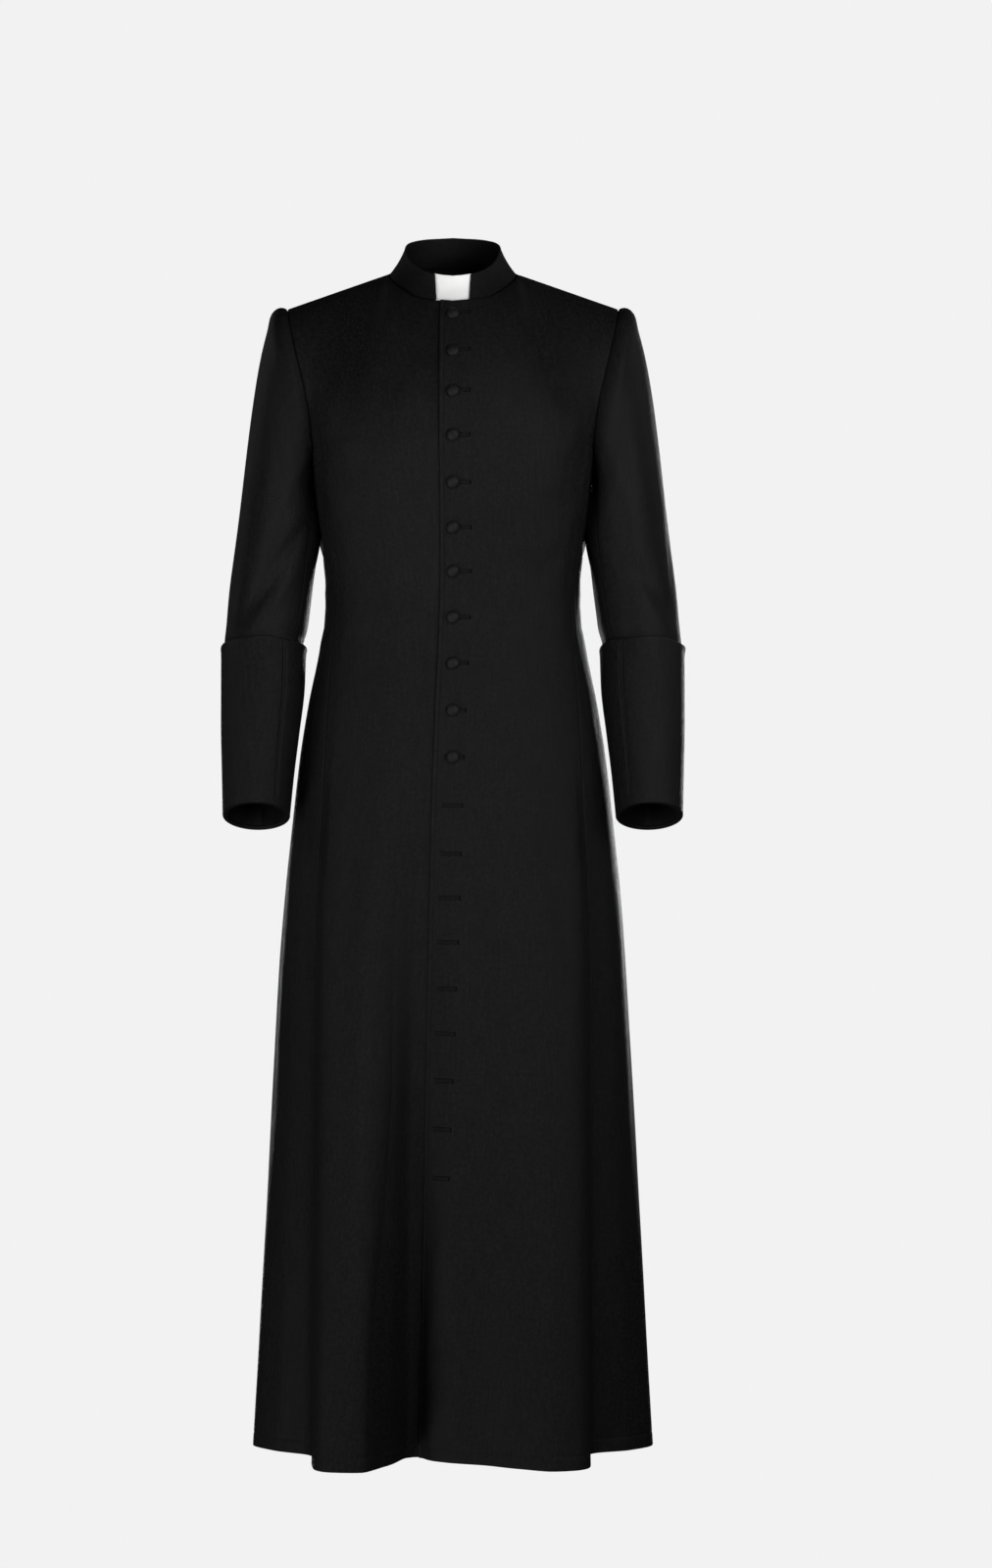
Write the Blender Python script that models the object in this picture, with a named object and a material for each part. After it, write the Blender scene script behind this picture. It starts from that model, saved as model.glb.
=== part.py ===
"""A long black wool cassock, hanging in the shape it has when it is worn.

Units are metres. +Z is up and -Y is the front. +X is the wearer's left.
The origin is at the middle of the neck, at the height of the shoulder seams.

Every cloth piece is a thin wall between an outer grid of points and the same
grid moved inwards along the cloth. The grids are read from two surfaces:
cloth_body, which runs all round the trunk and skirt, and cloth_sleeve, which
runs from the armhole to the wrist.
"""

import math
from bisect import bisect_right
from collections import namedtuple

import bmesh
import bpy
from mathutils import Vector

# Driving sizes of the cloth
WALL = 0.0020
COLLAR_WALL = 0.0024
TAB_WALL = 0.0010
SEAM_PULL = 0.0002
LAYER_GAP = 0.0004
LAP_LIFT = WALL + LAYER_GAP

# Heights on the garment
HEM_Z = -1.435
ARMHOLE_LINE_Z = -0.205
UNDERARM_Z = -0.250
SIDE_STRETCH_Z = -0.340
FOLD_START_Z = -0.580
FOLD_POWER = 1.15

# The skirt and trunk, as flattened rings. Depths are from the middle to the
# front and to the back. Squareness 2 is an ellipse and more is boxier.
Section = namedtuple("Section", "z half_width front back squareness")
SECTIONS = [
    Section(-1.435, 0.2470, 0.185, 0.200, 2.20),
    Section(-1.220, 0.2350, 0.178, 0.186, 2.20),
    Section(-1.030, 0.2250, 0.170, 0.172, 2.20),
    Section(-0.835, 0.2140, 0.156, 0.155, 2.25),
    Section(-0.740, 0.2065, 0.147, 0.146, 2.25),
    Section(-0.665, 0.1985, 0.138, 0.138, 2.25),
    Section(-0.595, 0.1900, 0.128, 0.129, 2.30),
    Section(-0.520, 0.1780, 0.117, 0.115, 2.35),
    Section(-0.450, 0.1640, 0.109, 0.098, 2.40),
    Section(-0.385, 0.1565, 0.107, 0.088, 2.50),
    Section(-0.330, 0.1615, 0.111, 0.090, 2.70),
    Section(-0.250, 0.1710, 0.121, 0.102, 2.90),
    Section(-0.205, 0.1760, 0.123, 0.106, 3.00),
]

# Folds, from centre back round the wearer's right, the front and the
# wearer's left to centre back again. The angles say where the fold lies on
# the ring, at the armhole line and from the hips down. The last two columns
# say where it lies at the hem.
Fold = namedtuple("Fold", "name chest_angle skirt_angle hem_x hem_y")
FOLDS = [
    Fold("centre back", -180.0, -180.0, 0.000, 0.207),
    Fold("right back swell", -165.0, -166.0, -0.052, 0.214),
    Fold("right back dip", -150.0, -154.0, -0.096, 0.186),
    Fold("right back crest", -134.0, -141.0, -0.138, 0.214),
    Fold("right back lip", -122.0, -133.0, -0.167, 0.188),
    Fold("right back root", -114.0, -128.0, -0.172, 0.098),
    Fold("right side back", -101.0, -110.0, -0.219, 0.052),
    Fold("right side", -90.0, -90.0, -0.247, 0.000),
    Fold("right side front", -79.0, -68.0, -0.218, -0.046),
    Fold("right front root", -66.0, -52.0, -0.172, -0.087),
    Fold("right front lip", -59.0, -47.0, -0.167, -0.178),
    Fold("right front corner", -50.0, -41.0, -0.148, -0.202),
    Fold("right front crest", -36.0, -31.0, -0.110, -0.206),
    Fold("valley wall", -20.0, -17.0, -0.077, -0.158),
    Fold("valley floor", -10.0, -11.0, -0.054, -0.102),
    Fold("lap edge", -5.3, -7.2, -0.041, -0.094),
    Fold("centre front", 0.0, 0.0, 0.000, -0.134),
    Fold("shallow valley", 10.0, 10.0, 0.038, -0.150),
    Fold("left front swell", 24.0, 20.0, 0.080, -0.178),
    Fold("left front crest", 38.0, 32.0, 0.118, -0.197),
    Fold("left front corner", 50.0, 41.0, 0.146, -0.190),
    Fold("left front lip", 59.0, 47.0, 0.164, -0.166),
    Fold("left front root", 66.0, 52.0, 0.168, -0.073),
    Fold("left side front", 79.0, 68.0, 0.217, -0.042),
    Fold("left side", 90.0, 90.0, 0.247, 0.000),
    Fold("left side back", 101.0, 110.0, 0.220, 0.050),
    Fold("left back root", 114.0, 128.0, 0.170, 0.092),
    Fold("left back lip", 122.0, 133.0, 0.166, 0.182),
    Fold("left back crest", 134.0, 141.0, 0.140, 0.210),
    Fold("left back dip", 150.0, 154.0, 0.100, 0.188),
    Fold("left back swell", 165.0, 166.0, 0.050, 0.214),
    Fold("centre back", 180.0, 180.0, 0.000, 0.207),
]
CHEST_ANGLES_FROM_Z = -0.300
SKIRT_ANGLES_FROM_Z = -0.620

# The ring where the collar is sewn on, by the angle from centre front
NECK_HALF_WIDTH = 0.079
NECK_HALF_DEPTH = 0.0675
SHOULDER_SEAM_ANGLE = 96.0
NECK_CHEST_ANGLE = 45.0
NeckHeight = namedtuple("NeckHeight", "angle base_z top_z")
NECK_HEIGHTS = [
    NeckHeight(0.0, -0.0290, 0.0010),
    NeckHeight(28.0, -0.0245, 0.0070),
    NeckHeight(55.0, -0.0085, 0.0195),
    NeckHeight(75.0, 0.0040, 0.0345),
    NeckHeight(96.0, 0.0135, 0.0480),
    NeckHeight(120.0, 0.0210, 0.0560),
    NeckHeight(150.0, 0.0265, 0.0620),
    NeckHeight(180.0, 0.0285, 0.0645),
]
COLLAR_TOP_HALF_WIDTH = 0.0595
COLLAR_TOP_FRONT = 0.0640
COLLAR_TOP_BACK = 0.0560
COLLAR_BOW = 0.0024
COLLAR_END_ANGLE_BASE = 14.9
COLLAR_END_ANGLE_TOP = 22.7
COLLAR_SEAM_GAP = 0.0008
COLLAR_INSET = 0.0007
TAB_END_ANGLE = 38.0
TAB_GAP = 0.0008
TAB_BELOW_SEAM = 0.16
COLLAR_COLUMNS = 30
COLLAR_ROWS = [0.0, 0.25, 0.5, 0.75, 1.0]
TAB_COLUMNS = 12

# The armhole of the wearer's left, from the shoulder tip down to the chest
# line, in front and behind
Point = namedtuple("Point", "x y z")
ARMHOLE_FRONT = [
    Point(0.1745, -0.060, -0.172),
    Point(0.1805, -0.060, -0.138),
    Point(0.1890, -0.054, -0.102),
    Point(0.1970, -0.041, -0.068),
    Point(0.2025, -0.020, -0.041),
]
ARMHOLE_BACK = [
    Point(0.1745, 0.062, -0.175),
    Point(0.1815, 0.068, -0.142),
    Point(0.1900, 0.066, -0.105),
    Point(0.1975, 0.054, -0.070),
    Point(0.2025, 0.033, -0.042),
]
SHOULDER_TIP = Point(0.2045, 0.006, -0.030)
SHOULDER_ROLL = 0.100
SHOULDER_REACH = 0.050
NECK_RISE = Vector((0.0, 0.080, 0.150))
NAPE_RISE = Vector((0.0, -0.045, 0.150))
CHEST_RISE = 0.200
ARMHOLE_PULL_POWER = 5

# Small steps for reading the way the cloth runs
HEIGHT_STEP = 0.004
PLACE_STEP = 0.020
LEVEL_STEP = 0.010

# How the sleeve leaves the armhole. Turn 0 is the shoulder tip, 1 the front
# of the chest line, 1.5 the underarm, 2 the back of the chest line.
SleeveHead = namedtuple("SleeveHead", "turn angle out_x out_y out_z")
SLEEVE_HEAD = [
    SleeveHead(0.0, 0.0, 0.105, 0.000, 0.034),
    SleeveHead(0.5, 52.0, 0.095, -0.040, -0.010),
    SleeveHead(1.0, 116.0, 0.045, -0.028, -0.050),
    SleeveHead(1.5, 180.0, 0.008, 0.000, -0.045),
    SleeveHead(2.0, 244.0, 0.045, 0.028, -0.050),
    SleeveHead(2.5, 308.0, 0.095, 0.040, -0.010),
    SleeveHead(3.0, 360.0, 0.105, 0.000, 0.034),
]
SLEEVE_SEAM_FRONT = 1.20
SLEEVE_SEAM_BACK = 2.20
SLEEVE_FALL = 1.40
SLEEVE_CLEARANCE = 0.0006

# The arm's rings below the armhole. Lean tips a ring's front edge up.
ArmRing = namedtuple("ArmRing", "z x y half_width half_depth lean")
ARM_RINGS = [
    ArmRing(-0.3200, 0.2175, 0.004, 0.0512, 0.068, 0.0),
    ArmRing(-0.3750, 0.2237, 0.002, 0.0520, 0.063, 5.0),
    ArmRing(-0.4250, 0.2292, -0.006, 0.0505, 0.060, 10.0),
    ArmRing(-0.4500, 0.2332, -0.012, 0.0482, 0.058, 12.0),
    ArmRing(-0.5000, 0.2336, -0.026, 0.0471, 0.056, 15.0),
    ArmRing(-0.5550, 0.2361, -0.043, 0.0437, 0.053, 17.0),
    ArmRing(-0.6050, 0.2380, -0.058, 0.0399, 0.050, 19.0),
    ArmRing(-0.6540, 0.2393, -0.074, 0.0368, 0.047, 20.0),
]
CUFF_LEVELS = [3.0, 3.6, 4.3, 5.0, 6.0, 7.0]
CUFF_GAP = 0.0024
CUFF_TURN_DEPTH = 0.0035
CUFF_TURN_GAP = 0.0006

# The covered buttons. The first lies this far below the collar seam along the
# cloth, and each of the others this far below the one before it.
BUTTON_FIRST = 0.0196
BUTTON_STEPS = [
    0.0526, 0.0528, 0.0538, 0.0566, 0.0546, 0.0531, 0.0560, 0.0559, 0.0575, 0.0573,
]
BUTTON_RADIUS = 0.0080
BUTTON_HEIGHT = 0.0050
BUTTON_RIM = 0.0014
BUTTON_SEAT = 0.0008
BUTTON_SIDES = 12
BUTTON_DOME_TURNS = (35.0, 65.0)
BUTTON_BACK_SHARE = 0.95

# Mesh steps
SKIRT_ROWS = [
    -1.435, -1.375, -1.285, -1.180, -1.070, -0.960, -0.860, -0.770,
    -0.690, -0.630, -0.585, -0.540, -0.500, -0.465, -0.430, -0.385, -0.340,
    -0.295, -0.250, -0.205,
]
YOKE_ROWS = [0.16, 0.32, 0.48, 0.64, 0.80, 0.91, 1.0]
HEAD_ROWS = [0.0, 0.12, 0.28, 0.48, 0.72]

WOOL = ("black_wool", (0.012, 0.012, 0.013, 1.0), 0.85)
BUTTON_CLOTH = ("covered_button", (0.010, 0.010, 0.011, 1.0), 0.70)
TAB_WHITE = ("collar_white", (0.86, 0.86, 0.84, 1.0), 0.45)


class Curve:
    """A smooth curve through values that never swings past them."""

    def __init__(self, places, values):
        self.places = list(places)
        self.values = list(values)
        steps = list(zip(self.places, self.places[1:], self.values, self.values[1:]))
        slopes = [(v1 - v0) / (p1 - p0) for p0, p1, v0, v1 in steps]
        inner = [self.calm(a, b) for a, b in zip(slopes, slopes[1:])]
        self.slopes = [slopes[0]] + inner + [slopes[-1]]

    @staticmethod
    def calm(before, after):
        if before * after <= 0.0:
            return 0.0
        return 2.0 * before * after / (before + after)

    def __call__(self, place):
        place = min(max(place, self.places[0]), self.places[-1])
        i = min(bisect_right(self.places, place), len(self.places) - 1) - 1
        step = self.places[i + 1] - self.places[i]
        t = (place - self.places[i]) / step
        start = (1 + 2 * t) * (1 - t) ** 2 * self.values[i]
        end = t * t * (3 - 2 * t) * self.values[i + 1]
        lean = t * (1 - t) ** 2 * self.slopes[i] - t * t * (1 - t) * self.slopes[i + 1]
        return start + end + lean * step


def curves(rows, key, names):
    """One Curve for each named column of a table."""
    places = [getattr(row, key) for row in rows]
    return {name: Curve(places, [getattr(row, name) for row in rows]) for name in names}


def fold_number(name):
    return [fold.name for fold in FOLDS].index(name)


def smooth(share):
    share = min(max(share, 0.0), 1.0)
    return share * share * (3 - 2 * share)


def hermite(start, start_pull, end, end_pull, t):
    return (
        start * ((1 + 2 * t) * (1 - t) ** 2)
        + start_pull * (t * (1 - t) ** 2)
        + end * (t * t * (3 - 2 * t))
        - end_pull * (t * t * (1 - t))
    )


SECTION = curves(SECTIONS, "z", ["half_width", "front", "back", "squareness"])
FOLD_AT = {
    name: Curve(range(len(FOLDS)), [getattr(fold, name) for fold in FOLDS])
    for name in ("chest_angle", "skirt_angle", "hem_x", "hem_y")
}
NECK = curves(NECK_HEIGHTS, "angle", ["base_z", "top_z"])
HEAD = curves(SLEEVE_HEAD, "turn", ["angle", "out_x", "out_y", "out_z"])
ARM_LEVELS = range(len(ARM_RINGS))
ARM = {
    name: Curve(ARM_LEVELS, [getattr(ring, name) for ring in ARM_RINGS])
    for name in ("z", "x", "y", "half_width", "half_depth", "lean")
}
CENTRE = fold_number("centre front")
LAP_EDGE = fold_number("lap edge")
UNDER_EDGE = fold_number("shallow valley")
LIFT_END = fold_number("left front crest")
ROOTS = {
    "right front": fold_number("right front root"),
    "right back": fold_number("right back root"),
    "left front": fold_number("left front root"),
    "left back": fold_number("left back root"),
}


def ring_point(angle, z):
    """A point on the flattened ring of the trunk at one height."""
    squareness = SECTION["squareness"](z)
    across = math.sin(math.radians(angle))
    ahead = math.cos(math.radians(angle))
    reach = (abs(across) ** squareness + abs(ahead) ** squareness) ** (-1 / squareness)
    depth = SECTION["front"](z) if ahead > 0 else SECTION["back"](z)
    return Vector((SECTION["half_width"](z) * across * reach, -depth * ahead * reach, z))


def cloth_ring(place, z):
    """A point on the cloth below the armhole line, folds included."""
    chest = FOLD_AT["chest_angle"](place)
    skirt = FOLD_AT["skirt_angle"](place)
    lower = (CHEST_ANGLES_FROM_Z - z) / (CHEST_ANGLES_FROM_Z - SKIRT_ANGLES_FROM_Z)
    angle = chest + (skirt - chest) * smooth(lower)
    point = ring_point(angle, z)
    if z < FOLD_START_Z:
        growth = ((FOLD_START_Z - z) / (FOLD_START_Z - HEM_Z)) ** FOLD_POWER
        at_hem = ring_point(skirt, HEM_Z)
        point.x += growth * (FOLD_AT["hem_x"](place) - at_hem.x)
        point.y += growth * (FOLD_AT["hem_y"](place) - at_hem.y)
    return point


def neck_base(angle):
    """A point on the seam where the collar meets the body."""
    turn = math.radians(angle)
    height = NECK["base_z"](abs(angle))
    return Vector((NECK_HALF_WIDTH * math.sin(turn), -NECK_HALF_DEPTH * math.cos(turn), height))


def armhole_edge(place_side, front, share):
    """The armhole from the chest line up to the shoulder tip."""
    root = ROOTS[("left " if place_side > 0 else "right ") + ("front" if front else "back")]
    start = cloth_ring(root, ARMHOLE_LINE_Z)
    rows = ARMHOLE_FRONT if front else ARMHOLE_BACK
    points = [start]
    points += [Vector((row.x * place_side, row.y, row.z)) for row in rows]
    points.append(Vector((SHOULDER_TIP.x * place_side, SHOULDER_TIP.y, SHOULDER_TIP.z)))
    places = [i / (len(points) - 1) for i in range(len(points))]
    return Vector([Curve(places, [p[axis] for p in points])(share) for axis in range(3)])


def yoke_top(chest_angle):
    """Where a column of cloth ends, at the collar seam or the shoulder seam,
    and the way it runs there."""
    side = -1.0 if chest_angle < 0 else 1.0
    size = abs(chest_angle)
    front = size < 90.0
    from_middle = size if front else 180.0 - size
    root = FOLD_AT["chest_angle"](ROOTS["left front"])
    neck_share = from_middle / NECK_CHEST_ANGLE
    span = SHOULDER_SEAM_ANGLE if front else 180.0 - SHOULDER_SEAM_ANGLE
    neck_point = neck_base(side * SHOULDER_SEAM_ANGLE)
    tip = Vector((SHOULDER_TIP.x * side, SHOULDER_TIP.y, SHOULDER_TIP.z))
    over = Vector((0.0, SHOULDER_ROLL if front else -SHOULDER_ROLL, 0.0))
    to_neck = (neck_point - tip).normalized() * SHOULDER_REACH
    if neck_share <= 1.0:
        turn = span * neck_share if front else 180.0 - span * neck_share
        rise = NECK_RISE if front else NAPE_RISE
        return neck_base(side * turn), rise.lerp(over + to_neck, smooth(neck_share))
    share = min((from_middle - NECK_CHEST_ANGLE) / (root - NECK_CHEST_ANGLE), 1.0)
    return neck_point.lerp(tip, share), over + to_neck * (1.0 - share)


def cloth_yoke(place, share):
    """A point on the cloth above the armhole line. Share 1 is its top edge."""
    chest_angle = FOLD_AT["chest_angle"](place)
    start = cloth_ring(place, ARMHOLE_LINE_Z)
    below = cloth_ring(place, ARMHOLE_LINE_Z - HEIGHT_STEP)
    start_pull = (start - below).normalized() * CHEST_RISE
    end, end_pull = yoke_top(chest_angle)
    point = hermite(start, start_pull, end, end_pull, share)
    front = abs(chest_angle) < 90.0
    side = 1.0 if chest_angle > 0 else -1.0
    root = ROOTS[("left " if side > 0 else "right ") + ("front" if front else "back")]
    size = abs(chest_angle)
    from_middle = size if front else 180.0 - size
    root_angle = abs(FOLD_AT["chest_angle"](root))
    root_from_middle = root_angle if front else 180.0 - root_angle
    nearness = (from_middle / root_from_middle) ** ARMHOLE_PULL_POWER
    root_start = cloth_ring(root, ARMHOLE_LINE_Z)
    root_below = cloth_ring(root, ARMHOLE_LINE_Z - HEIGHT_STEP)
    root_pull = (root_start - root_below).normalized() * CHEST_RISE
    root_end, root_end_pull = yoke_top(side * root_angle)
    plain = hermite(root_start, root_pull, root_end, root_end_pull, share)
    return point + (armhole_edge(side, front, share) - plain) * nearness


def side_row(place, z):
    """The side bodies' rows rise to the chest line at both of their seams."""
    if z <= SIDE_STRETCH_Z:
        return z
    angle = abs(FOLD_AT["chest_angle"](place))
    root_angle = abs(FOLD_AT["chest_angle"](ROOTS["left front"]))
    off_middle = abs(angle - 90.0) / (90.0 - root_angle)
    top = UNDERARM_Z + (ARMHOLE_LINE_Z - UNDERARM_Z) * off_middle ** 2
    share = (z - SIDE_STRETCH_Z) / (ARMHOLE_LINE_Z - SIDE_STRETCH_Z)
    return SIDE_STRETCH_Z + (top - SIDE_STRETCH_Z) * share


def cloth_body(place, row):
    """The cloth of the trunk and skirt. Rows up to 0 are heights and rows
    above 0 are shares of the way from the chest line to the top edge."""
    if row > 0.0:
        return cloth_yoke(place, row)
    if ROOTS["right back"] <= place <= ROOTS["right front"]:
        return cloth_ring(place, side_row(place, row))
    if ROOTS["left front"] <= place <= ROOTS["left back"]:
        return cloth_ring(place, side_row(place, row))
    return cloth_ring(place, row)


def body_normal(place, row):
    """The way out of the trunk's cloth."""
    top = len(FOLDS) - 1
    low, high = max(place - PLACE_STEP, 0.0), min(place + PLACE_STEP, top)
    chest_angle = abs(FOLD_AT["chest_angle"](place))
    if row >= 1.0 and NECK_CHEST_ANGLE <= chest_angle <= 180.0 - NECK_CHEST_ANGLE:
        side = 1.0 if place > CENTRE else -1.0
        tip = Vector((SHOULDER_TIP.x * side, SHOULDER_TIP.y, SHOULDER_TIP.z))
        seam = (tip - neck_base(side * SHOULDER_SEAM_ANGLE)) * side
        return seam.cross(Vector((0.0, 1.0, 0.0))).normalized()
    if row > 0.0:
        limits = [(ROOTS["right front"], ROOTS["left front"]), (0, ROOTS["right back"])]
        limits.append((ROOTS["left back"], top))
        for start, end in limits:
            if start <= place <= end:
                low, high = max(low, start), min(high, end)
        along = cloth_yoke(high, row) - cloth_yoke(low, row)
        up = cloth_yoke(place, min(row + PLACE_STEP, 1.0)) - cloth_yoke(place, row - PLACE_STEP)
        return along.cross(up).normalized()
    along = cloth_body(high, row) - cloth_body(low, row)
    above = min(row + HEIGHT_STEP, ARMHOLE_LINE_Z)
    up = cloth_body(place, above) - cloth_body(place, row - HEIGHT_STEP)
    return along.cross(up).normalized()


def grid_columns(start, end, per_fold=2):
    """Places from one fold number to another, the same ones on all pieces."""
    first = math.ceil(start * per_fold)
    last = math.floor(end * per_fold)
    return [i / per_fold for i in range(first, last + 1)]


def material(look):
    name, colour, roughness = look
    made = bpy.data.materials.get(name) or bpy.data.materials.new(name)
    made.use_nodes = True
    shader = made.node_tree.nodes["Principled BSDF"]
    shader.inputs["Base Color"].default_value = colour
    shader.inputs["Roughness"].default_value = roughness
    shader.inputs["Metallic"].default_value = 0.0
    return made


def finish_object(name, bm, look):
    """Turn a closed mesh into a named object with its faces pointing out."""
    bmesh.ops.recalc_face_normals(bm, faces=bm.faces)
    mesh = bpy.data.meshes.new(name)
    bm.to_mesh(mesh)
    bm.free()
    mesh.shade_smooth()
    mesh.set_sharp_from_angle(angle=math.radians(50.0))
    mesh.materials.append(material(look))
    made = bpy.data.objects.new(name, mesh)
    bpy.context.scene.collection.objects.link(made)
    return made


def pull_back(grid, amount, rows=(), columns=()):
    """Move a grid's edge rows or columns inwards, to leave a seam's gap."""
    for row, toward in rows:
        for c in range(len(grid[0])):
            way = (grid[toward][c] - grid[row][c]).normalized()
            grid[row][c] = grid[row][c] + way * amount
    for column, toward in columns:
        for line in grid:
            way = (line[toward] - line[column]).normalized()
            line[column] = line[column] + way * amount


def wall_piece(name, outer, inner, look, flipped=False, round_trip=False):
    """A closed wall between two grids of points with the same layout."""
    bm = bmesh.new()
    out = [[bm.verts.new(p) for p in line] for line in outer]
    back = [[bm.verts.new(p) for p in line] for line in inner]
    rows = len(outer)
    columns = len(outer[0])
    steps = columns if round_trip else columns - 1
    for r in range(rows - 1):
        for c in range(steps):
            d = (c + 1) % columns
            for side in (out, back):
                quad = [side[r][c], side[r][d], side[r + 1][d], side[r + 1][c]]
                if flipped:
                    quad = quad[1:] + quad[:1]
                bm.faces.new((quad[0], quad[1], quad[2]))
                bm.faces.new((quad[0], quad[2], quad[3]))
    for r in (0, rows - 1):
        for c in range(steps):
            d = (c + 1) % columns
            bm.faces.new((out[r][c], out[r][d], back[r][d], back[r][c]))
    if not round_trip:
        for c in (0, columns - 1):
            for r in range(rows - 1):
                bm.faces.new((out[r][c], out[r + 1][c], back[r + 1][c], back[r][c]))
    return finish_object(name, bm, look)


def body_piece(name, columns, rows, lift=None, seams=(0, -1), flipped=False):
    """One cut piece of the trunk's cloth, lifted where it lies on another."""
    outer = [[cloth_body(u, row) for u in columns] for row in rows]
    normals = [[body_normal(u, row) for u in columns] for row in rows]
    toward = {0: 1, -1: -2}
    pull_back(
        outer, SEAM_PULL,
        rows=[(-1, -2)],
        columns=[(seam, toward[seam]) for seam in seams],
    )
    if lift:
        for line, ways in zip(outer, normals):
            for c, u in enumerate(columns):
                line[c] = line[c] + ways[c] * lift(u)
    inner = [[p - n * WALL for p, n in zip(*pair)] for pair in zip(outer, normals)]
    return wall_piece(name, outer, inner, WOOL, flipped)


def lap_lift(place):
    """How far the upper layer stands off the under layer's surface."""
    return LAP_LIFT * (1.0 - smooth((place - UNDER_EDGE) / (LIFT_END - UNDER_EDGE)))


def add_fronts():
    rows = SKIRT_ROWS + YOKE_ROWS
    body_piece(
        "front_left", grid_columns(LAP_EDGE, ROOTS["left front"]), rows, lift=lap_lift, seams=(-1,),
    )
    body_piece("front_right", grid_columns(ROOTS["right front"], UNDER_EDGE), rows, seams=(0,))


def add_sides():
    for side in ("left", "right"):
        ends = sorted((ROOTS[side + " front"], ROOTS[side + " back"]))
        body_piece("side_" + side, grid_columns(*ends), SKIRT_ROWS, flipped=side == "left")


def add_backs():
    rows = SKIRT_ROWS + YOKE_ROWS
    last = len(FOLDS) - 1
    body_piece("back_right", grid_columns(0, ROOTS["right back"]), rows)
    body_piece("back_left", grid_columns(ROOTS["left back"], last), rows, flipped=True)


def collar_point(angle, height):
    """A point on the outside of the stand collar. Height 0 is its seam."""
    turn = math.radians(angle)
    base = neck_base(angle)
    depth = COLLAR_TOP_FRONT if math.cos(turn) > 0 else COLLAR_TOP_BACK
    top = Vector((
        COLLAR_TOP_HALF_WIDTH * math.sin(turn),
        -depth * math.cos(turn),
        NECK["top_z"](abs(angle)),
    ))
    bow = COLLAR_BOW * 4.0 * height * (1.0 - height)
    inwards = Vector((-math.sin(turn), math.cos(turn), 0.0))
    return base.lerp(top, height) + inwards * (bow + COLLAR_INSET)


def collar_normal(angle, height):
    along = collar_point(angle + PLACE_STEP, height) - collar_point(angle - PLACE_STEP, height)
    up = collar_point(angle, height + PLACE_STEP) - collar_point(angle, height - PLACE_STEP)
    return along.cross(up).normalized()


def add_collar():
    outer = []
    inner = []
    for height in COLLAR_ROWS:
        end = COLLAR_END_ANGLE_BASE + (COLLAR_END_ANGLE_TOP - COLLAR_END_ANGLE_BASE) * height
        line = []
        ways = []
        for c in range(COLLAR_COLUMNS + 1):
            angle = end + (360.0 - 2.0 * end) * c / COLLAR_COLUMNS
            angle = angle if angle <= 180.0 else angle - 360.0
            line.append(collar_point(angle, height))
            ways.append(collar_normal(angle, height))
        outer.append(line)
        inner.append([p - n * COLLAR_WALL for p, n in zip(line, ways)])
    for grid in (outer, inner):
        grid[0] = [p + Vector((0.0, 0.0, COLLAR_SEAM_GAP)) for p in grid[0]]
    wall_piece("collar", outer, inner, WOOL)


def add_collar_tab():
    """The white strip that slips in behind the collar's square opening."""
    depth = COLLAR_WALL + TAB_GAP
    outer = []
    inner = []
    for height in [-TAB_BELOW_SEAM] + COLLAR_ROWS:
        shares = [2.0 * c / TAB_COLUMNS - 1.0 for c in range(TAB_COLUMNS + 1)]
        angles = [TAB_END_ANGLE * share for share in shares]
        line = [(collar_point(a, height), collar_normal(a, height)) for a in angles]
        outer.append([p - n * depth for p, n in line])
        inner.append([p - n * (depth + TAB_WALL) for p, n in line])
    wall_piece("collar_tab", outer, inner, TAB_WHITE)


def armhole_point(side, turn):
    """The armhole all round. Turn 0 to 1 is the front, 1 to 2 runs under the
    arm and 2 to 3 is the back."""
    name = "left " if side > 0 else "right "
    if turn <= 1.0:
        return armhole_edge(side, True, 1.0 - turn)
    if turn >= 2.0:
        return armhole_edge(side, False, turn - 2.0)
    start, end = ROOTS[name + "front"], ROOTS[name + "back"]
    return cloth_body(start + (end - start) * (turn - 1.0), ARMHOLE_LINE_Z)


def arm_ring(side, turn, level, grow=0.0):
    """A point on the sleeve below the armhole, at one level of the arm."""
    angle = math.radians(HEAD["angle"](turn))
    lean = math.radians(ARM["lean"](level))
    across = (ARM["half_width"](level) + grow) * math.cos(angle)
    ahead = (ARM["half_depth"](level) + grow) * math.sin(angle)
    return Vector((
        side * (ARM["x"](level) + across),
        ARM["y"](level) - ahead * math.cos(lean),
        ARM["z"](level) + ahead * math.sin(lean),
    ))


def cloth_sleeve(side, turn, row):
    """The sleeve's cloth. Rows below 1 are the sleeve head and rows from 1
    on are arm levels."""
    if row >= 1.0:
        return arm_ring(side, turn, row - 1.0)
    clear = Vector((side * SLEEVE_CLEARANCE, 0.0, 0.0))
    start = armhole_point(side, turn) + clear
    end = arm_ring(side, turn, 0.0)
    start_pull = Vector((side * HEAD["out_x"](turn), HEAD["out_y"](turn), HEAD["out_z"](turn)))
    below = arm_ring(side, turn, 0.05) - end
    end_pull = below.normalized() * ((end - start).length * SLEEVE_FALL)
    return hermite(start, start_pull, end, end_pull, row)


def sleeve_normal(side, turn, row):
    low, high = turn - LEVEL_STEP, turn + LEVEL_STEP
    if low < 0.0:
        along = cloth_sleeve(side, high, row) - cloth_sleeve(side, low + 3.0, row)
    elif high > 3.0:
        along = cloth_sleeve(side, high - 3.0, row) - cloth_sleeve(side, low, row)
    else:
        along = cloth_sleeve(side, high, row) - cloth_sleeve(side, low, row)
    top = max(row - LEVEL_STEP, 0.0)
    bottom = min(row + LEVEL_STEP, 1.0 + ARM_LEVELS[-1])
    down = cloth_sleeve(side, turn, bottom) - cloth_sleeve(side, turn, top)
    return along.cross(down).normalized() * side


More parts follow.
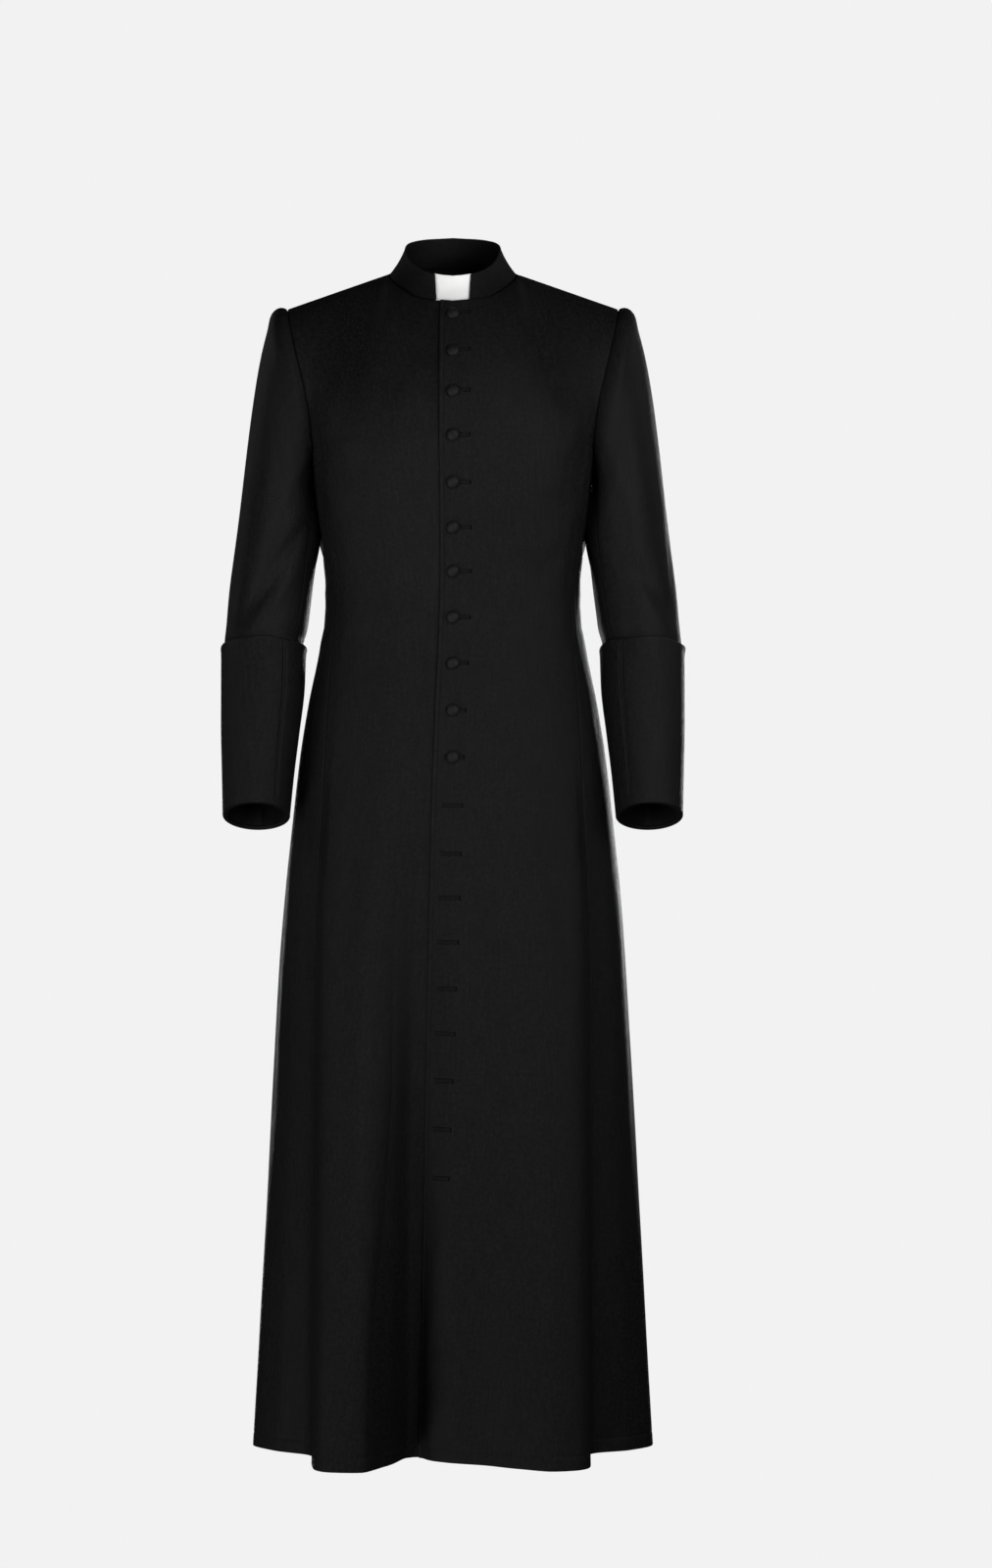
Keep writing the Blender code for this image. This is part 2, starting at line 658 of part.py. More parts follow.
def sleeve_turns(start, end):
    """Turns of the sleeve's columns, the same ones as on the armhole."""
    rows = sorted(YOKE_ROWS)
    front = [1.0 - row for row in reversed(rows)] + [1.0]
    places = grid_columns(ROOTS["left front"], ROOTS["left back"])
    under = [1.0 + i / (len(places) - 1) for i in range(1, len(places))]
    back = [2.0 + row for row in rows]
    turns = front + under + back[:-1]
    if start < end:
        return [start] + [t for t in turns if start + 0.01 < t < end - 0.01] + [end]
    later = [t - 3.0 for t in turns if t > start + 0.01]
    sooner = [t for t in turns if t < end - 0.01]
    return [start - 3.0] + later + sooner + [end]


def add_sleeves():
    rows = HEAD_ROWS + [1.0 + level for level in ARM_LEVELS]
    spans = {
        "upper": (SLEEVE_SEAM_BACK, SLEEVE_SEAM_FRONT),
        "under": (SLEEVE_SEAM_FRONT, SLEEVE_SEAM_BACK),
    }
    for name, side in (("left", 1.0), ("right", -1.0)):
        for part, (start, end) in spans.items():
            turns = sleeve_turns(start, end)
            outer = [[cloth_sleeve(side, t % 3.0, row) for t in turns] for row in rows]
            ways = [[sleeve_normal(side, t % 3.0, row) for t in turns] for row in rows]
            pull_back(outer, SEAM_PULL, rows=[(0, 1)], columns=[(0, 1), (-1, -2)])
            inner = [[p - n * WALL for p, n in zip(*pair)] for pair in zip(outer, ways)]
            wall_piece("sleeve_" + name + "_" + part, outer, inner, WOOL)


def add_cuffs():
    """Each cuff is a band outside the sleeve, turned in under its end."""
    turns = sleeve_turns(0.0, 3.0)[:-1]
    levels = CUFF_LEVELS
    for name, side in (("left", 1.0), ("right", -1.0)):
        profile = []
        for level in levels:
            profile.append((level, CUFF_GAP + WALL, 0.0))
        profile.append((levels[-1], CUFF_GAP + WALL, CUFF_TURN_DEPTH))
        profile.append((levels[-1], -WALL, CUFF_TURN_DEPTH))
        profile.append((levels[-1], -WALL, CUFF_TURN_GAP))
        profile.append((levels[-1], CUFF_GAP, CUFF_TURN_GAP))
        for level in reversed(levels[:-1]):
            profile.append((level, CUFF_GAP, 0.0))
        bm = bmesh.new()
        loops = []
        for level, grow, drop in profile:
            lean = math.radians(ARM["lean"](level))
            down = Vector((0.0, -math.sin(lean), -math.cos(lean))) * drop
            loops.append([bm.verts.new(arm_ring(side, t, level, grow) + down) for t in turns])
        for before, after in zip(loops, loops[1:] + loops[:1]):
            for c in range(len(turns)):
                d = (c + 1) % len(turns)
                bm.faces.new((before[c], before[d], after[d]))
                bm.faces.new((before[c], after[d], after[c]))
        finish_object("cuff_" + name, bm, WOOL)


def front_line():
    """The upper layer's outside at centre front, from the collar seam down,
    as pairs of length along the cloth and grid row."""
    rows = [1.0 - i / 40 for i in range(40)]
    rows += [ARMHOLE_LINE_Z - i * 0.01 for i in range(60)]
    length = 0.0
    line = []
    last = None
    for row in rows:
        point = cloth_body(CENTRE, row)
        length += (point - last).length if last else 0.0
        line.append((length, row))
        last = point
    return line


def button_row(line, distance):
    for (l0, r0), (l1, r1) in zip(line, line[1:]):
        if l0 <= distance < l1 and (r0 > 0) == (r1 > 0):
            return r0 + (r1 - r0) * (distance - l0) / (l1 - l0)
    return ARMHOLE_LINE_Z


def add_buttons():
    """Flat-backed domes with a narrow rim, seated on the upper layer."""
    line = front_line()
    profile = [(0.0, BUTTON_HEIGHT)]
    for degrees in BUTTON_DOME_TURNS:
        turn = math.radians(degrees)
        profile.append((
            (BUTTON_RADIUS - BUTTON_RIM) * math.sin(turn),
            BUTTON_RIM + (BUTTON_HEIGHT - BUTTON_RIM) * math.cos(turn),
        ))
    profile.append((BUTTON_RADIUS, BUTTON_RIM))
    profile.append((BUTTON_RADIUS * BUTTON_BACK_SHARE, 0.0))
    for number in range(len(BUTTON_STEPS) + 1):
        row = button_row(line, BUTTON_FIRST + sum(BUTTON_STEPS[:number]))
        normal = body_normal(CENTRE, row)
        seat = cloth_body(CENTRE, row) + normal * (LAP_LIFT + BUTTON_SEAT)
        turned = normal.to_track_quat("Z", "Y")
        bm = bmesh.new()
        top = bm.verts.new(seat + turned @ Vector((0.0, 0.0, BUTTON_HEIGHT)))
        rings = []
        for radius, height in profile[1:]:
            ring = []
            for i in range(BUTTON_SIDES):
                turn = 2.0 * math.pi * i / BUTTON_SIDES
                local = Vector((radius * math.cos(turn), radius * math.sin(turn), height))
                ring.append(bm.verts.new(seat + turned @ local))
            rings.append(ring)
        for i in range(BUTTON_SIDES):
            j = (i + 1) % BUTTON_SIDES
            bm.faces.new((top, rings[0][i], rings[0][j]))
            for a, b in zip(rings, rings[1:]):
                bm.faces.new((a[i], b[i], b[j], a[j]))
        bm.faces.new(list(reversed(rings[-1])))
        finish_object("button_%02d" % (number + 1), bm, BUTTON_CLOTH)


def main():
    for old in list(bpy.data.objects):
        bpy.data.objects.remove(old, do_unlink=True)
    add_fronts()
    add_sides()
    add_backs()
    add_collar()
    add_collar_tab()
    add_sleeves()
    add_cuffs()
    add_buttons()


main()
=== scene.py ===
import math
from collections import namedtuple

import bpy
import numpy as np
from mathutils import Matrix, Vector


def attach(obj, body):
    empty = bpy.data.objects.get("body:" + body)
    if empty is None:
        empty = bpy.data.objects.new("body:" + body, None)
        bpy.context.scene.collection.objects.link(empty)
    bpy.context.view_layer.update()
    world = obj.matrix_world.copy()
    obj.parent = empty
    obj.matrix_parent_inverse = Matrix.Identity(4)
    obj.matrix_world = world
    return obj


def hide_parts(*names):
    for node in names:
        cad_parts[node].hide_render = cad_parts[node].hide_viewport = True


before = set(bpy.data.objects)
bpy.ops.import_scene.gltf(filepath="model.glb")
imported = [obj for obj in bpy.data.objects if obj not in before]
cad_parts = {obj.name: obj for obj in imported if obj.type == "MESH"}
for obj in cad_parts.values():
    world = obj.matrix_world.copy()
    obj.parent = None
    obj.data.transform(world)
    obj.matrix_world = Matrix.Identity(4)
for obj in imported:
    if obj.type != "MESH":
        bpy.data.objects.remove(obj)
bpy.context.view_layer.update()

ROOT = "root"


# Camera, at the height of the waist and straight in front
CAMERA_DISTANCE = 5.0
CAMERA_HEIGHT = -0.618
FOCUS_PIXELS = 4126.5
FRAME_PIXELS = 1600.0
MIDDLE_PIXELS = 44.0
SENSOR = 36.0


def add_camera():
    data = bpy.data.cameras.new("camera")
    data.sensor_fit = "VERTICAL"
    data.sensor_height = SENSOR
    data.lens = FOCUS_PIXELS * SENSOR / FRAME_PIXELS
    data.shift_x = MIDDLE_PIXELS / FRAME_PIXELS
    data.clip_end = 200.0
    camera = bpy.data.objects.new("camera", data)
    camera.location = (0.0, -CAMERA_DISTANCE, CAMERA_HEIGHT)
    camera.rotation_euler = (math.radians(90.0), 0.0, 0.0)
    bpy.context.scene.collection.objects.link(camera)
    bpy.context.scene.camera = camera


# The cloth's main form, from the same named values as the part's source
WALL = 0.0018
LAP_LIFT = 0.0024
HEM_Z = -1.435
ARMHOLE_LINE_Z = -0.205
UNDERARM_Z = -0.250
SIDE_STRETCH_Z = -0.340
FOLD_START_Z = -0.580
FOLD_POWER = 1.15
Section = namedtuple("Section", "z half_width front back squareness")
SECTIONS = [
    Section(-1.435, 0.2470, 0.185, 0.200, 2.20),
    Section(-1.220, 0.2350, 0.178, 0.186, 2.20),
    Section(-1.030, 0.2250, 0.170, 0.172, 2.20),
    Section(-0.835, 0.2140, 0.156, 0.155, 2.25),
    Section(-0.740, 0.2065, 0.147, 0.146, 2.25),
    Section(-0.665, 0.1985, 0.138, 0.138, 2.25),
    Section(-0.595, 0.1900, 0.128, 0.129, 2.30),
    Section(-0.520, 0.1780, 0.117, 0.115, 2.35),
    Section(-0.450, 0.1640, 0.109, 0.098, 2.40),
    Section(-0.385, 0.1565, 0.107, 0.088, 2.50),
    Section(-0.330, 0.1615, 0.111, 0.090, 2.70),
    Section(-0.250, 0.1710, 0.121, 0.102, 2.90),
    Section(-0.205, 0.1760, 0.123, 0.106, 3.00),
]
Fold = namedtuple("Fold", "name chest_angle skirt_angle hem_x hem_y")
FOLDS = [
    Fold("centre back", -180.0, -180.0, 0.000, 0.207),
    Fold("right back swell", -165.0, -166.0, -0.052, 0.214),
    Fold("right back dip", -150.0, -154.0, -0.096, 0.186),
    Fold("right back crest", -134.0, -141.0, -0.138, 0.214),
    Fold("right back lip", -122.0, -133.0, -0.167, 0.188),
    Fold("right back root", -114.0, -128.0, -0.172, 0.098),
    Fold("right side back", -101.0, -110.0, -0.219, 0.052),
    Fold("right side", -90.0, -90.0, -0.247, 0.000),
    Fold("right side front", -79.0, -68.0, -0.218, -0.046),
    Fold("right front root", -66.0, -52.0, -0.172, -0.087),
    Fold("right front lip", -59.0, -47.0, -0.167, -0.178),
    Fold("right front corner", -50.0, -41.0, -0.148, -0.202),
    Fold("right front crest", -36.0, -31.0, -0.110, -0.206),
    Fold("valley wall", -20.0, -17.0, -0.077, -0.158),
    Fold("valley floor", -10.0, -11.0, -0.054, -0.102),
    Fold("lap edge", -5.3, -7.2, -0.041, -0.094),
    Fold("centre front", 0.0, 0.0, 0.000, -0.134),
    Fold("shallow valley", 10.0, 10.0, 0.038, -0.150),
    Fold("left front swell", 24.0, 20.0, 0.080, -0.178),
    Fold("left front crest", 38.0, 32.0, 0.118, -0.197),
    Fold("left front corner", 50.0, 41.0, 0.146, -0.190),
    Fold("left front lip", 59.0, 47.0, 0.164, -0.166),
    Fold("left front root", 66.0, 52.0, 0.168, -0.073),
    Fold("left side front", 79.0, 68.0, 0.217, -0.042),
    Fold("left side", 90.0, 90.0, 0.247, 0.000),
    Fold("left side back", 101.0, 110.0, 0.220, 0.050),
    Fold("left back root", 114.0, 128.0, 0.170, 0.092),
    Fold("left back lip", 122.0, 133.0, 0.166, 0.182),
    Fold("left back crest", 134.0, 141.0, 0.140, 0.210),
    Fold("left back dip", 150.0, 154.0, 0.100, 0.188),
    Fold("left back swell", 165.0, 166.0, 0.050, 0.214),
    Fold("centre back", 180.0, 180.0, 0.000, 0.207),
]
CHEST_ANGLES_FROM_Z = -0.300
SKIRT_ANGLES_FROM_Z = -0.620
NECK_HALF_WIDTH = 0.079
NECK_HALF_DEPTH = 0.0675
SHOULDER_SEAM_ANGLE = 96.0
NECK_CHEST_ANGLE = 45.0
NeckHeight = namedtuple("NeckHeight", "angle base_z top_z")
NECK_HEIGHTS = [
    NeckHeight(0.0, -0.0290, 0.0010),
    NeckHeight(28.0, -0.0245, 0.0070),
    NeckHeight(55.0, -0.0085, 0.0195),
    NeckHeight(75.0, 0.0040, 0.0345),
    NeckHeight(96.0, 0.0135, 0.0480),
    NeckHeight(120.0, 0.0210, 0.0560),
    NeckHeight(150.0, 0.0265, 0.0620),
    NeckHeight(180.0, 0.0285, 0.0645),
]
COLLAR_TOP_HALF_WIDTH = 0.0595
COLLAR_TOP_FRONT = 0.0640
COLLAR_TOP_BACK = 0.0560
COLLAR_BOW = 0.0024
COLLAR_END_ANGLE_BASE = 14.9
COLLAR_END_ANGLE_TOP = 22.7
COLLAR_INSET = 0.0007
Point = namedtuple("Point", "x y z")
ARMHOLE_FRONT = [
    Point(0.1745, -0.060, -0.172),
    Point(0.1805, -0.060, -0.138),
    Point(0.1890, -0.054, -0.102),
    Point(0.1970, -0.041, -0.068),
    Point(0.2025, -0.020, -0.041),
]
ARMHOLE_BACK = [
    Point(0.1745, 0.062, -0.175),
    Point(0.1815, 0.068, -0.142),
    Point(0.1900, 0.066, -0.105),
    Point(0.1975, 0.054, -0.070),
    Point(0.2025, 0.033, -0.042),
]
SHOULDER_TIP = Point(0.2045, 0.006, -0.030)
SHOULDER_ROLL = 0.100
SHOULDER_REACH = 0.050
NECK_RISE = np.array([0.0, 0.080, 0.150])
NAPE_RISE = np.array([0.0, -0.045, 0.150])
CHEST_RISE = 0.200
ARMHOLE_PULL_POWER = 5
HEIGHT_STEP = 0.004
PLACE_STEP = 0.020
LEVEL_STEP = 0.010
SleeveHead = namedtuple("SleeveHead", "turn angle out_x out_y out_z")
SLEEVE_HEAD = [
    SleeveHead(0.0, 0.0, 0.105, 0.000, 0.034),
    SleeveHead(0.5, 52.0, 0.095, -0.040, -0.010),
    SleeveHead(1.0, 116.0, 0.045, -0.028, -0.050),
    SleeveHead(1.5, 180.0, 0.008, 0.000, -0.045),
    SleeveHead(2.0, 244.0, 0.045, 0.028, -0.050),
    SleeveHead(2.5, 308.0, 0.095, 0.040, -0.010),
    SleeveHead(3.0, 360.0, 0.105, 0.000, 0.034),
]
SLEEVE_SEAM_FRONT = 1.20
SLEEVE_SEAM_BACK = 2.20
SLEEVE_FALL = 1.40
SLEEVE_CLEARANCE = 0.0006
ArmRing = namedtuple("ArmRing", "z x y half_width half_depth lean")
ARM_RINGS = [
    ArmRing(-0.3200, 0.2175, 0.004, 0.0512, 0.068, 0.0),
    ArmRing(-0.3750, 0.2237, 0.002, 0.0520, 0.063, 5.0),
    ArmRing(-0.4250, 0.2292, -0.006, 0.0505, 0.060, 10.0),
    ArmRing(-0.4500, 0.2332, -0.012, 0.0482, 0.058, 12.0),
    ArmRing(-0.5000, 0.2336, -0.026, 0.0471, 0.056, 15.0),
    ArmRing(-0.5550, 0.2361, -0.043, 0.0437, 0.053, 17.0),
    ArmRing(-0.6050, 0.2380, -0.058, 0.0399, 0.050, 19.0),
    ArmRing(-0.6540, 0.2393, -0.074, 0.0368, 0.047, 20.0),
]
CUFF_GAP = 0.0024


class Curve:
    """A smooth curve through values that never swings past them."""

    def __init__(self, places, values):
        self.places = np.array(list(places), float)
        self.values = np.array(list(values), float)
        slopes = np.diff(self.values) / np.diff(self.places)
        before, after = slopes[:-1], slopes[1:]
        total = np.where(before * after > 0.0, before + after, 1.0)
        inner = np.where(before * after > 0.0, 2.0 * before * after / total, 0.0)
        self.slopes = np.concatenate([slopes[:1], inner, slopes[-1:]])

    def __call__(self, place):
        place = np.clip(place, self.places[0], self.places[-1])
        i = np.searchsorted(self.places, place, side="right") - 1
        i = np.clip(i, 0, len(self.places) - 2)
        step = self.places[i + 1] - self.places[i]
        t = (place - self.places[i]) / step
        start = (1 + 2 * t) * (1 - t) ** 2 * self.values[i]
        end = t * t * (3 - 2 * t) * self.values[i + 1]
        lean = t * (1 - t) ** 2 * self.slopes[i] - t * t * (1 - t) * self.slopes[i + 1]
        return start + end + lean * step


def curves(rows, key, names):
    places = [getattr(row, key) for row in rows]
    return {name: Curve(places, [getattr(row, name) for row in rows]) for name in names}


def fold_number(name):
    return [fold.name for fold in FOLDS].index(name)


SECTION = curves(SECTIONS, "z", ["half_width", "front", "back", "squareness"])
FOLD_AT = {
    name: Curve(range(len(FOLDS)), [getattr(fold, name) for fold in FOLDS])
    for name in ("chest_angle", "skirt_angle", "hem_x", "hem_y")
}
NECK = curves(NECK_HEIGHTS, "angle", ["base_z", "top_z"])
HEAD = curves(SLEEVE_HEAD, "turn", ["angle", "out_x", "out_y", "out_z"])
ARM = {
    name: Curve(range(len(ARM_RINGS)), [getattr(ring, name) for ring in ARM_RINGS])
    for name in ("z", "x", "y", "half_width", "half_depth", "lean")
}
LAST_LEVEL = len(ARM_RINGS) - 1.0
LAST_FOLD = len(FOLDS) - 1
CENTRE = fold_number("centre front")
LAP_EDGE = fold_number("lap edge")
UNDER_EDGE = fold_number("shallow valley")
LIFT_END = fold_number("left front crest")
ROOTS = {
    (-1, True): fold_number("right front root"),
    (-1, False): fold_number("right back root"),
    (1, True): fold_number("left front root"),
    (1, False): fold_number("left back root"),
}
ROOT_ANGLE = 66.0


def stack(x, y, z):
    return np.stack(np.broadcast_arrays(x, y, z), axis=-1).astype(float)


def unit(ways):
    return ways / np.maximum(np.linalg.norm(ways, axis=-1, keepdims=True), 1e-12)


def smooth(share):
    share = np.clip(share, 0.0, 1.0)
    return share * share * (3 - 2 * share)


def hermite(start, start_pull, end, end_pull, t):
    t = np.asarray(t)[..., None]
    return (
        start * ((1 + 2 * t) * (1 - t) ** 2)
        + start_pull * (t * (1 - t) ** 2)
        + end * (t * t * (3 - 2 * t))
        - end_pull * (t * t * (1 - t))
    )


def ring_point(angle, z):
    """A point on the flattened ring of the trunk at one height."""
    squareness = SECTION["squareness"](z)
    across = np.sin(np.radians(angle))
    ahead = np.cos(np.radians(angle))
    reach = (np.abs(across) ** squareness + np.abs(ahead) ** squareness) ** (-1 / squareness)
    depth = np.where(ahead > 0, SECTION["front"](z), SECTION["back"](z))
    return stack(SECTION["half_width"](z) * across * reach, -depth * ahead * reach, z)


def cloth_ring(place, z):
    """A point on the cloth below the armhole line, folds included."""
    place, z = np.broadcast_arrays(np.asarray(place, float), np.asarray(z, float))
    chest = FOLD_AT["chest_angle"](place)
    skirt = FOLD_AT["skirt_angle"](place)
    lower = (CHEST_ANGLES_FROM_Z - z) / (CHEST_ANGLES_FROM_Z - SKIRT_ANGLES_FROM_Z)
    point = ring_point(chest + (skirt - chest) * smooth(lower), z)
    growth = np.maximum((FOLD_START_Z - z) / (FOLD_START_Z - HEM_Z), 0.0) ** FOLD_POWER
    at_hem = ring_point(skirt, HEM_Z)
    point[..., 0] += growth * (FOLD_AT["hem_x"](place) - at_hem[..., 0])
    point[..., 1] += growth * (FOLD_AT["hem_y"](place) - at_hem[..., 1])
    return point


def neck_base(angle):
    """A point on the seam where the collar meets the body."""
    turn = np.radians(angle)
    height = NECK["base_z"](np.abs(angle))
    return stack(NECK_HALF_WIDTH * np.sin(turn), -NECK_HALF_DEPTH * np.cos(turn), height)


def yoke_top(chest_angle):
    """Where a column of cloth ends and the way it runs there."""
    side = np.where(chest_angle < 0, -1.0, 1.0)
    size = np.abs(chest_angle)
    front = size < 90.0
    from_middle = np.where(front, size, 180.0 - size)
    neck_share = from_middle / NECK_CHEST_ANGLE
    held = np.clip(neck_share, 0.0, 1.0)
    span = np.where(front, SHOULDER_SEAM_ANGLE, 180.0 - SHOULDER_SEAM_ANGLE)
    neck_point = neck_base(side * SHOULDER_SEAM_ANGLE)
    tip = stack(SHOULDER_TIP.x * side, SHOULDER_TIP.y, SHOULDER_TIP.z)
    over = stack(0.0, np.where(front, SHOULDER_ROLL, -SHOULDER_ROLL), 0.0)
    to_neck = unit(neck_point - tip) * SHOULDER_REACH
    turn = np.where(front, span * held, 180.0 - span * held)
    rise = np.where(front[..., None], NECK_RISE, NAPE_RISE)
    neck_pull = rise + (over + to_neck - rise) * smooth(neck_share)[..., None]
    share = (from_middle - NECK_CHEST_ANGLE) / (ROOT_ANGLE - NECK_CHEST_ANGLE)
    share = np.clip(share, 0.0, 1.0)[..., None]
    at_neck = (neck_share <= 1.0)[..., None]
    end = np.where(at_neck, neck_base(side * turn), neck_point + (tip - neck_point) * share)
    return end, np.where(at_neck, neck_pull, over + to_neck * (1.0 - share))


ARMHOLE = {}
for (side, is_front), place in ROOTS.items():
    rows = ARMHOLE_FRONT if is_front else ARMHOLE_BACK
    points = [cloth_ring(place, ARMHOLE_LINE_Z)]
    points += [np.array([row.x * side, row.y, row.z]) for row in rows]
    points.append(np.array([SHOULDER_TIP.x * side, SHOULDER_TIP.y, SHOULDER_TIP.z]))
    shares = np.linspace(0.0, 1.0, len(points))
    ARMHOLE[side, is_front] = [Curve(shares, [p[axis] for p in points]) for axis in range(3)]


def armhole_edge(side, is_front, share):
    return stack(*[curve(share) for curve in ARMHOLE[side, is_front]])


def cloth_yoke(place, share):
    """A point on the cloth above the armhole line. Share 1 is its top edge."""
    place, share = np.broadcast_arrays(np.asarray(place, float), np.asarray(share, float))
    chest_angle = FOLD_AT["chest_angle"](place)
    start = cloth_ring(place, ARMHOLE_LINE_Z)
    start_pull = unit(start - cloth_ring(place, ARMHOLE_LINE_Z - HEIGHT_STEP)) * CHEST_RISE
    end, end_pull = yoke_top(chest_angle)
    point = hermite(start, start_pull, end, end_pull, share)
    size = np.abs(chest_angle)
    from_middle = np.where(size < 90.0, size, 180.0 - size)
    nearness = (from_middle / ROOT_ANGLE) ** ARMHOLE_PULL_POWER
    for (side, is_front), root in ROOTS.items():
        mask = ((chest_angle > 0) == (side > 0)) & ((size < 90.0) == is_front)
        if not mask.any():
            continue
        root_start = cloth_ring(root, ARMHOLE_LINE_Z)
        root_pull = unit(root_start - cloth_ring(root, ARMHOLE_LINE_Z - HEIGHT_STEP)) * CHEST_RISE
        root_angle = np.array(side * (ROOT_ANGLE if is_front else 180.0 - ROOT_ANGLE))
        root_end, root_end_pull = yoke_top(root_angle)
        plain = hermite(root_start, root_pull, root_end, root_end_pull, share[mask])
        edge = armhole_edge(side, is_front, share[mask])
        point[mask] += (edge - plain) * nearness[mask][..., None]
    return point


def side_row(place, z):
    """The side bodies' rows rise to the chest line at both of their seams."""
    angle = np.abs(FOLD_AT["chest_angle"](place))
    off_middle = np.abs(angle - 90.0) / (90.0 - ROOT_ANGLE)
    top = UNDERARM_Z + (ARMHOLE_LINE_Z - UNDERARM_Z) * off_middle ** 2
    share = (z - SIDE_STRETCH_Z) / (ARMHOLE_LINE_Z - SIDE_STRETCH_Z)
    raised = SIDE_STRETCH_Z + (top - SIDE_STRETCH_Z) * share
    at_side = np.zeros(np.shape(place), bool)
    for side in (-1, 1):
        low, high = sorted((ROOTS[side, True], ROOTS[side, False]))
        at_side |= (place >= low) & (place <= high)
    return np.where(at_side & (z > SIDE_STRETCH_Z), raised, z)


def cloth_body(place, row):
    """The cloth of the trunk and skirt. Rows up to 0 are heights and rows
    above 0 are shares of the way from the chest line to the top edge."""
    place, row = np.broadcast_arrays(np.asarray(place, float), np.asarray(row, float))
    point = np.zeros(place.shape + (3,))
    yoke = row > 0.0
    if yoke.any():
        point[yoke] = cloth_yoke(place[yoke], row[yoke])
    if (~yoke).any():
        below = ~yoke
        point[below] = cloth_ring(place[below], side_row(place[below], row[below]))
    return point


def body_normal(place, row, start=0, end=LAST_FOLD):
    """The way out of the trunk's cloth. Start and end bound the yoke."""
    place, row = np.broadcast_arrays(np.asarray(place, float), np.asarray(row, float))
    yoke = row > 0.0
    low = np.maximum(place - PLACE_STEP, np.where(yoke, start, 0))
    high = np.minimum(place + PLACE_STEP, np.where(yoke, end, LAST_FOLD))
    along = cloth_body(high, row) - cloth_body(low, row)
    above = np.where(
        yoke, np.minimum(row + PLACE_STEP, 1.0), np.minimum(row + HEIGHT_STEP, ARMHOLE_LINE_Z),
    )
    below = np.where(yoke, np.maximum(row - PLACE_STEP, 1e-6), row - HEIGHT_STEP)
    normal = unit(np.cross(along, cloth_body(place, above) - cloth_body(place, below)))
    angle = np.abs(FOLD_AT["chest_angle"](place))
    side = np.where(place > CENTRE, 1.0, -1.0)
    tip = stack(SHOULDER_TIP.x * side, SHOULDER_TIP.y, SHOULDER_TIP.z)
    seam = (tip - neck_base(side * SHOULDER_SEAM_ANGLE)) * side[..., None]
    shared = unit(np.cross(seam, np.array([0.0, 1.0, 0.0])))
    at_seam = (angle >= NECK_CHEST_ANGLE - 6.0) & (angle <= 186.0 - NECK_CHEST_ANGLE)
    share = np.where(at_seam, smooth((row - 0.90) / 0.10), 0.0)[..., None]
    return unit(normal * (1.0 - share) + shared * share)


def collar_point(angle, height):
    """A point on the outside of the stand collar. Height 0 is its seam."""
    turn = np.radians(angle)
    depth = np.where(np.cos(turn) > 0, COLLAR_TOP_FRONT, COLLAR_TOP_BACK)
    base = neck_base(angle)
    top = stack(
        COLLAR_TOP_HALF_WIDTH * np.sin(turn), -depth * np.cos(turn), NECK["top_z"](np.abs(angle)),
    )
    bow = COLLAR_BOW * 4.0 * height * (1.0 - height) + COLLAR_INSET
    inwards = stack(-np.sin(turn), np.cos(turn), 0.0)
    return base + (top - base) * height[..., None] + inwards * bow[..., None]


def collar_normal(angle, height):
    step = PLACE_STEP
    along = collar_point(angle + step, height) - collar_point(angle - step, height)
    up = collar_point(angle, height + step) - collar_point(angle, height - step)
    return unit(np.cross(along, up))


def armhole_point(side, turn):
    """The armhole all round. Turn 0 to 1 is the front, 1 to 2 runs under the
    arm and 2 to 3 is the back."""
    point = np.zeros(turn.shape + (3,))
    front, back = turn <= 1.0, turn >= 2.0
    under = ~front & ~back
    point[front] = armhole_edge(side, True, 1.0 - turn[front])
    point[back] = armhole_edge(side, False, turn[back] - 2.0)
    start, end = ROOTS[side, True], ROOTS[side, False]
    point[under] = cloth_body(start + (end - start) * (turn[under] - 1.0), ARMHOLE_LINE_Z)
    return point


def arm_ring(side, turn, level, grow=0.0):
    """A point on the sleeve below the armhole, at one level of the arm."""
    angle = np.radians(HEAD["angle"](turn))
    lean = np.radians(ARM["lean"](level))
    across = (ARM["half_width"](level) + grow) * np.cos(angle)
    ahead = (ARM["half_depth"](level) + grow) * np.sin(angle)
    return stack(
        side * (ARM["x"](level) + across),
        ARM["y"](level) - ahead * np.cos(lean),
        ARM["z"](level) + ahead * np.sin(lean),
    )


def cloth_sleeve(side, turn, row):
    """The sleeve's cloth. Rows below 1 are the sleeve head and rows from 1
    on are arm levels."""
    turn, row = np.broadcast_arrays(np.asarray(turn, float) % 3.0, np.asarray(row, float))
    point = arm_ring(side, turn, np.maximum(row - 1.0, 0.0))
    head = row < 1.0
    if head.any():
        t = turn[head]
        start = armhole_point(side, t) + np.array([side * SLEEVE_CLEARANCE, 0.0, 0.0])
        end = arm_ring(side, t, 0.0)
        start_pull = stack(side * HEAD["out_x"](t), HEAD["out_y"](t), HEAD["out_z"](t))
        way = unit(arm_ring(side, t, 0.05) - end)
        end_pull = way * (np.linalg.norm(end - start, axis=-1, keepdims=True) * SLEEVE_FALL)
        point[head] = hermite(start, start_pull, end, end_pull, row[head])
    return point


def sleeve_normal(side, turn, row):
    along = cloth_sleeve(side, turn + LEVEL_STEP, row) - cloth_sleeve(side, turn - LEVEL_STEP, row)
    top = np.maximum(row - LEVEL_STEP, 0.0)
    bottom = np.minimum(row + LEVEL_STEP, 1.0 + LAST_LEVEL)
    down = cloth_sleeve(side, turn, bottom) - cloth_sleeve(side, turn, top)
    return unit(np.cross(along, down)) * side


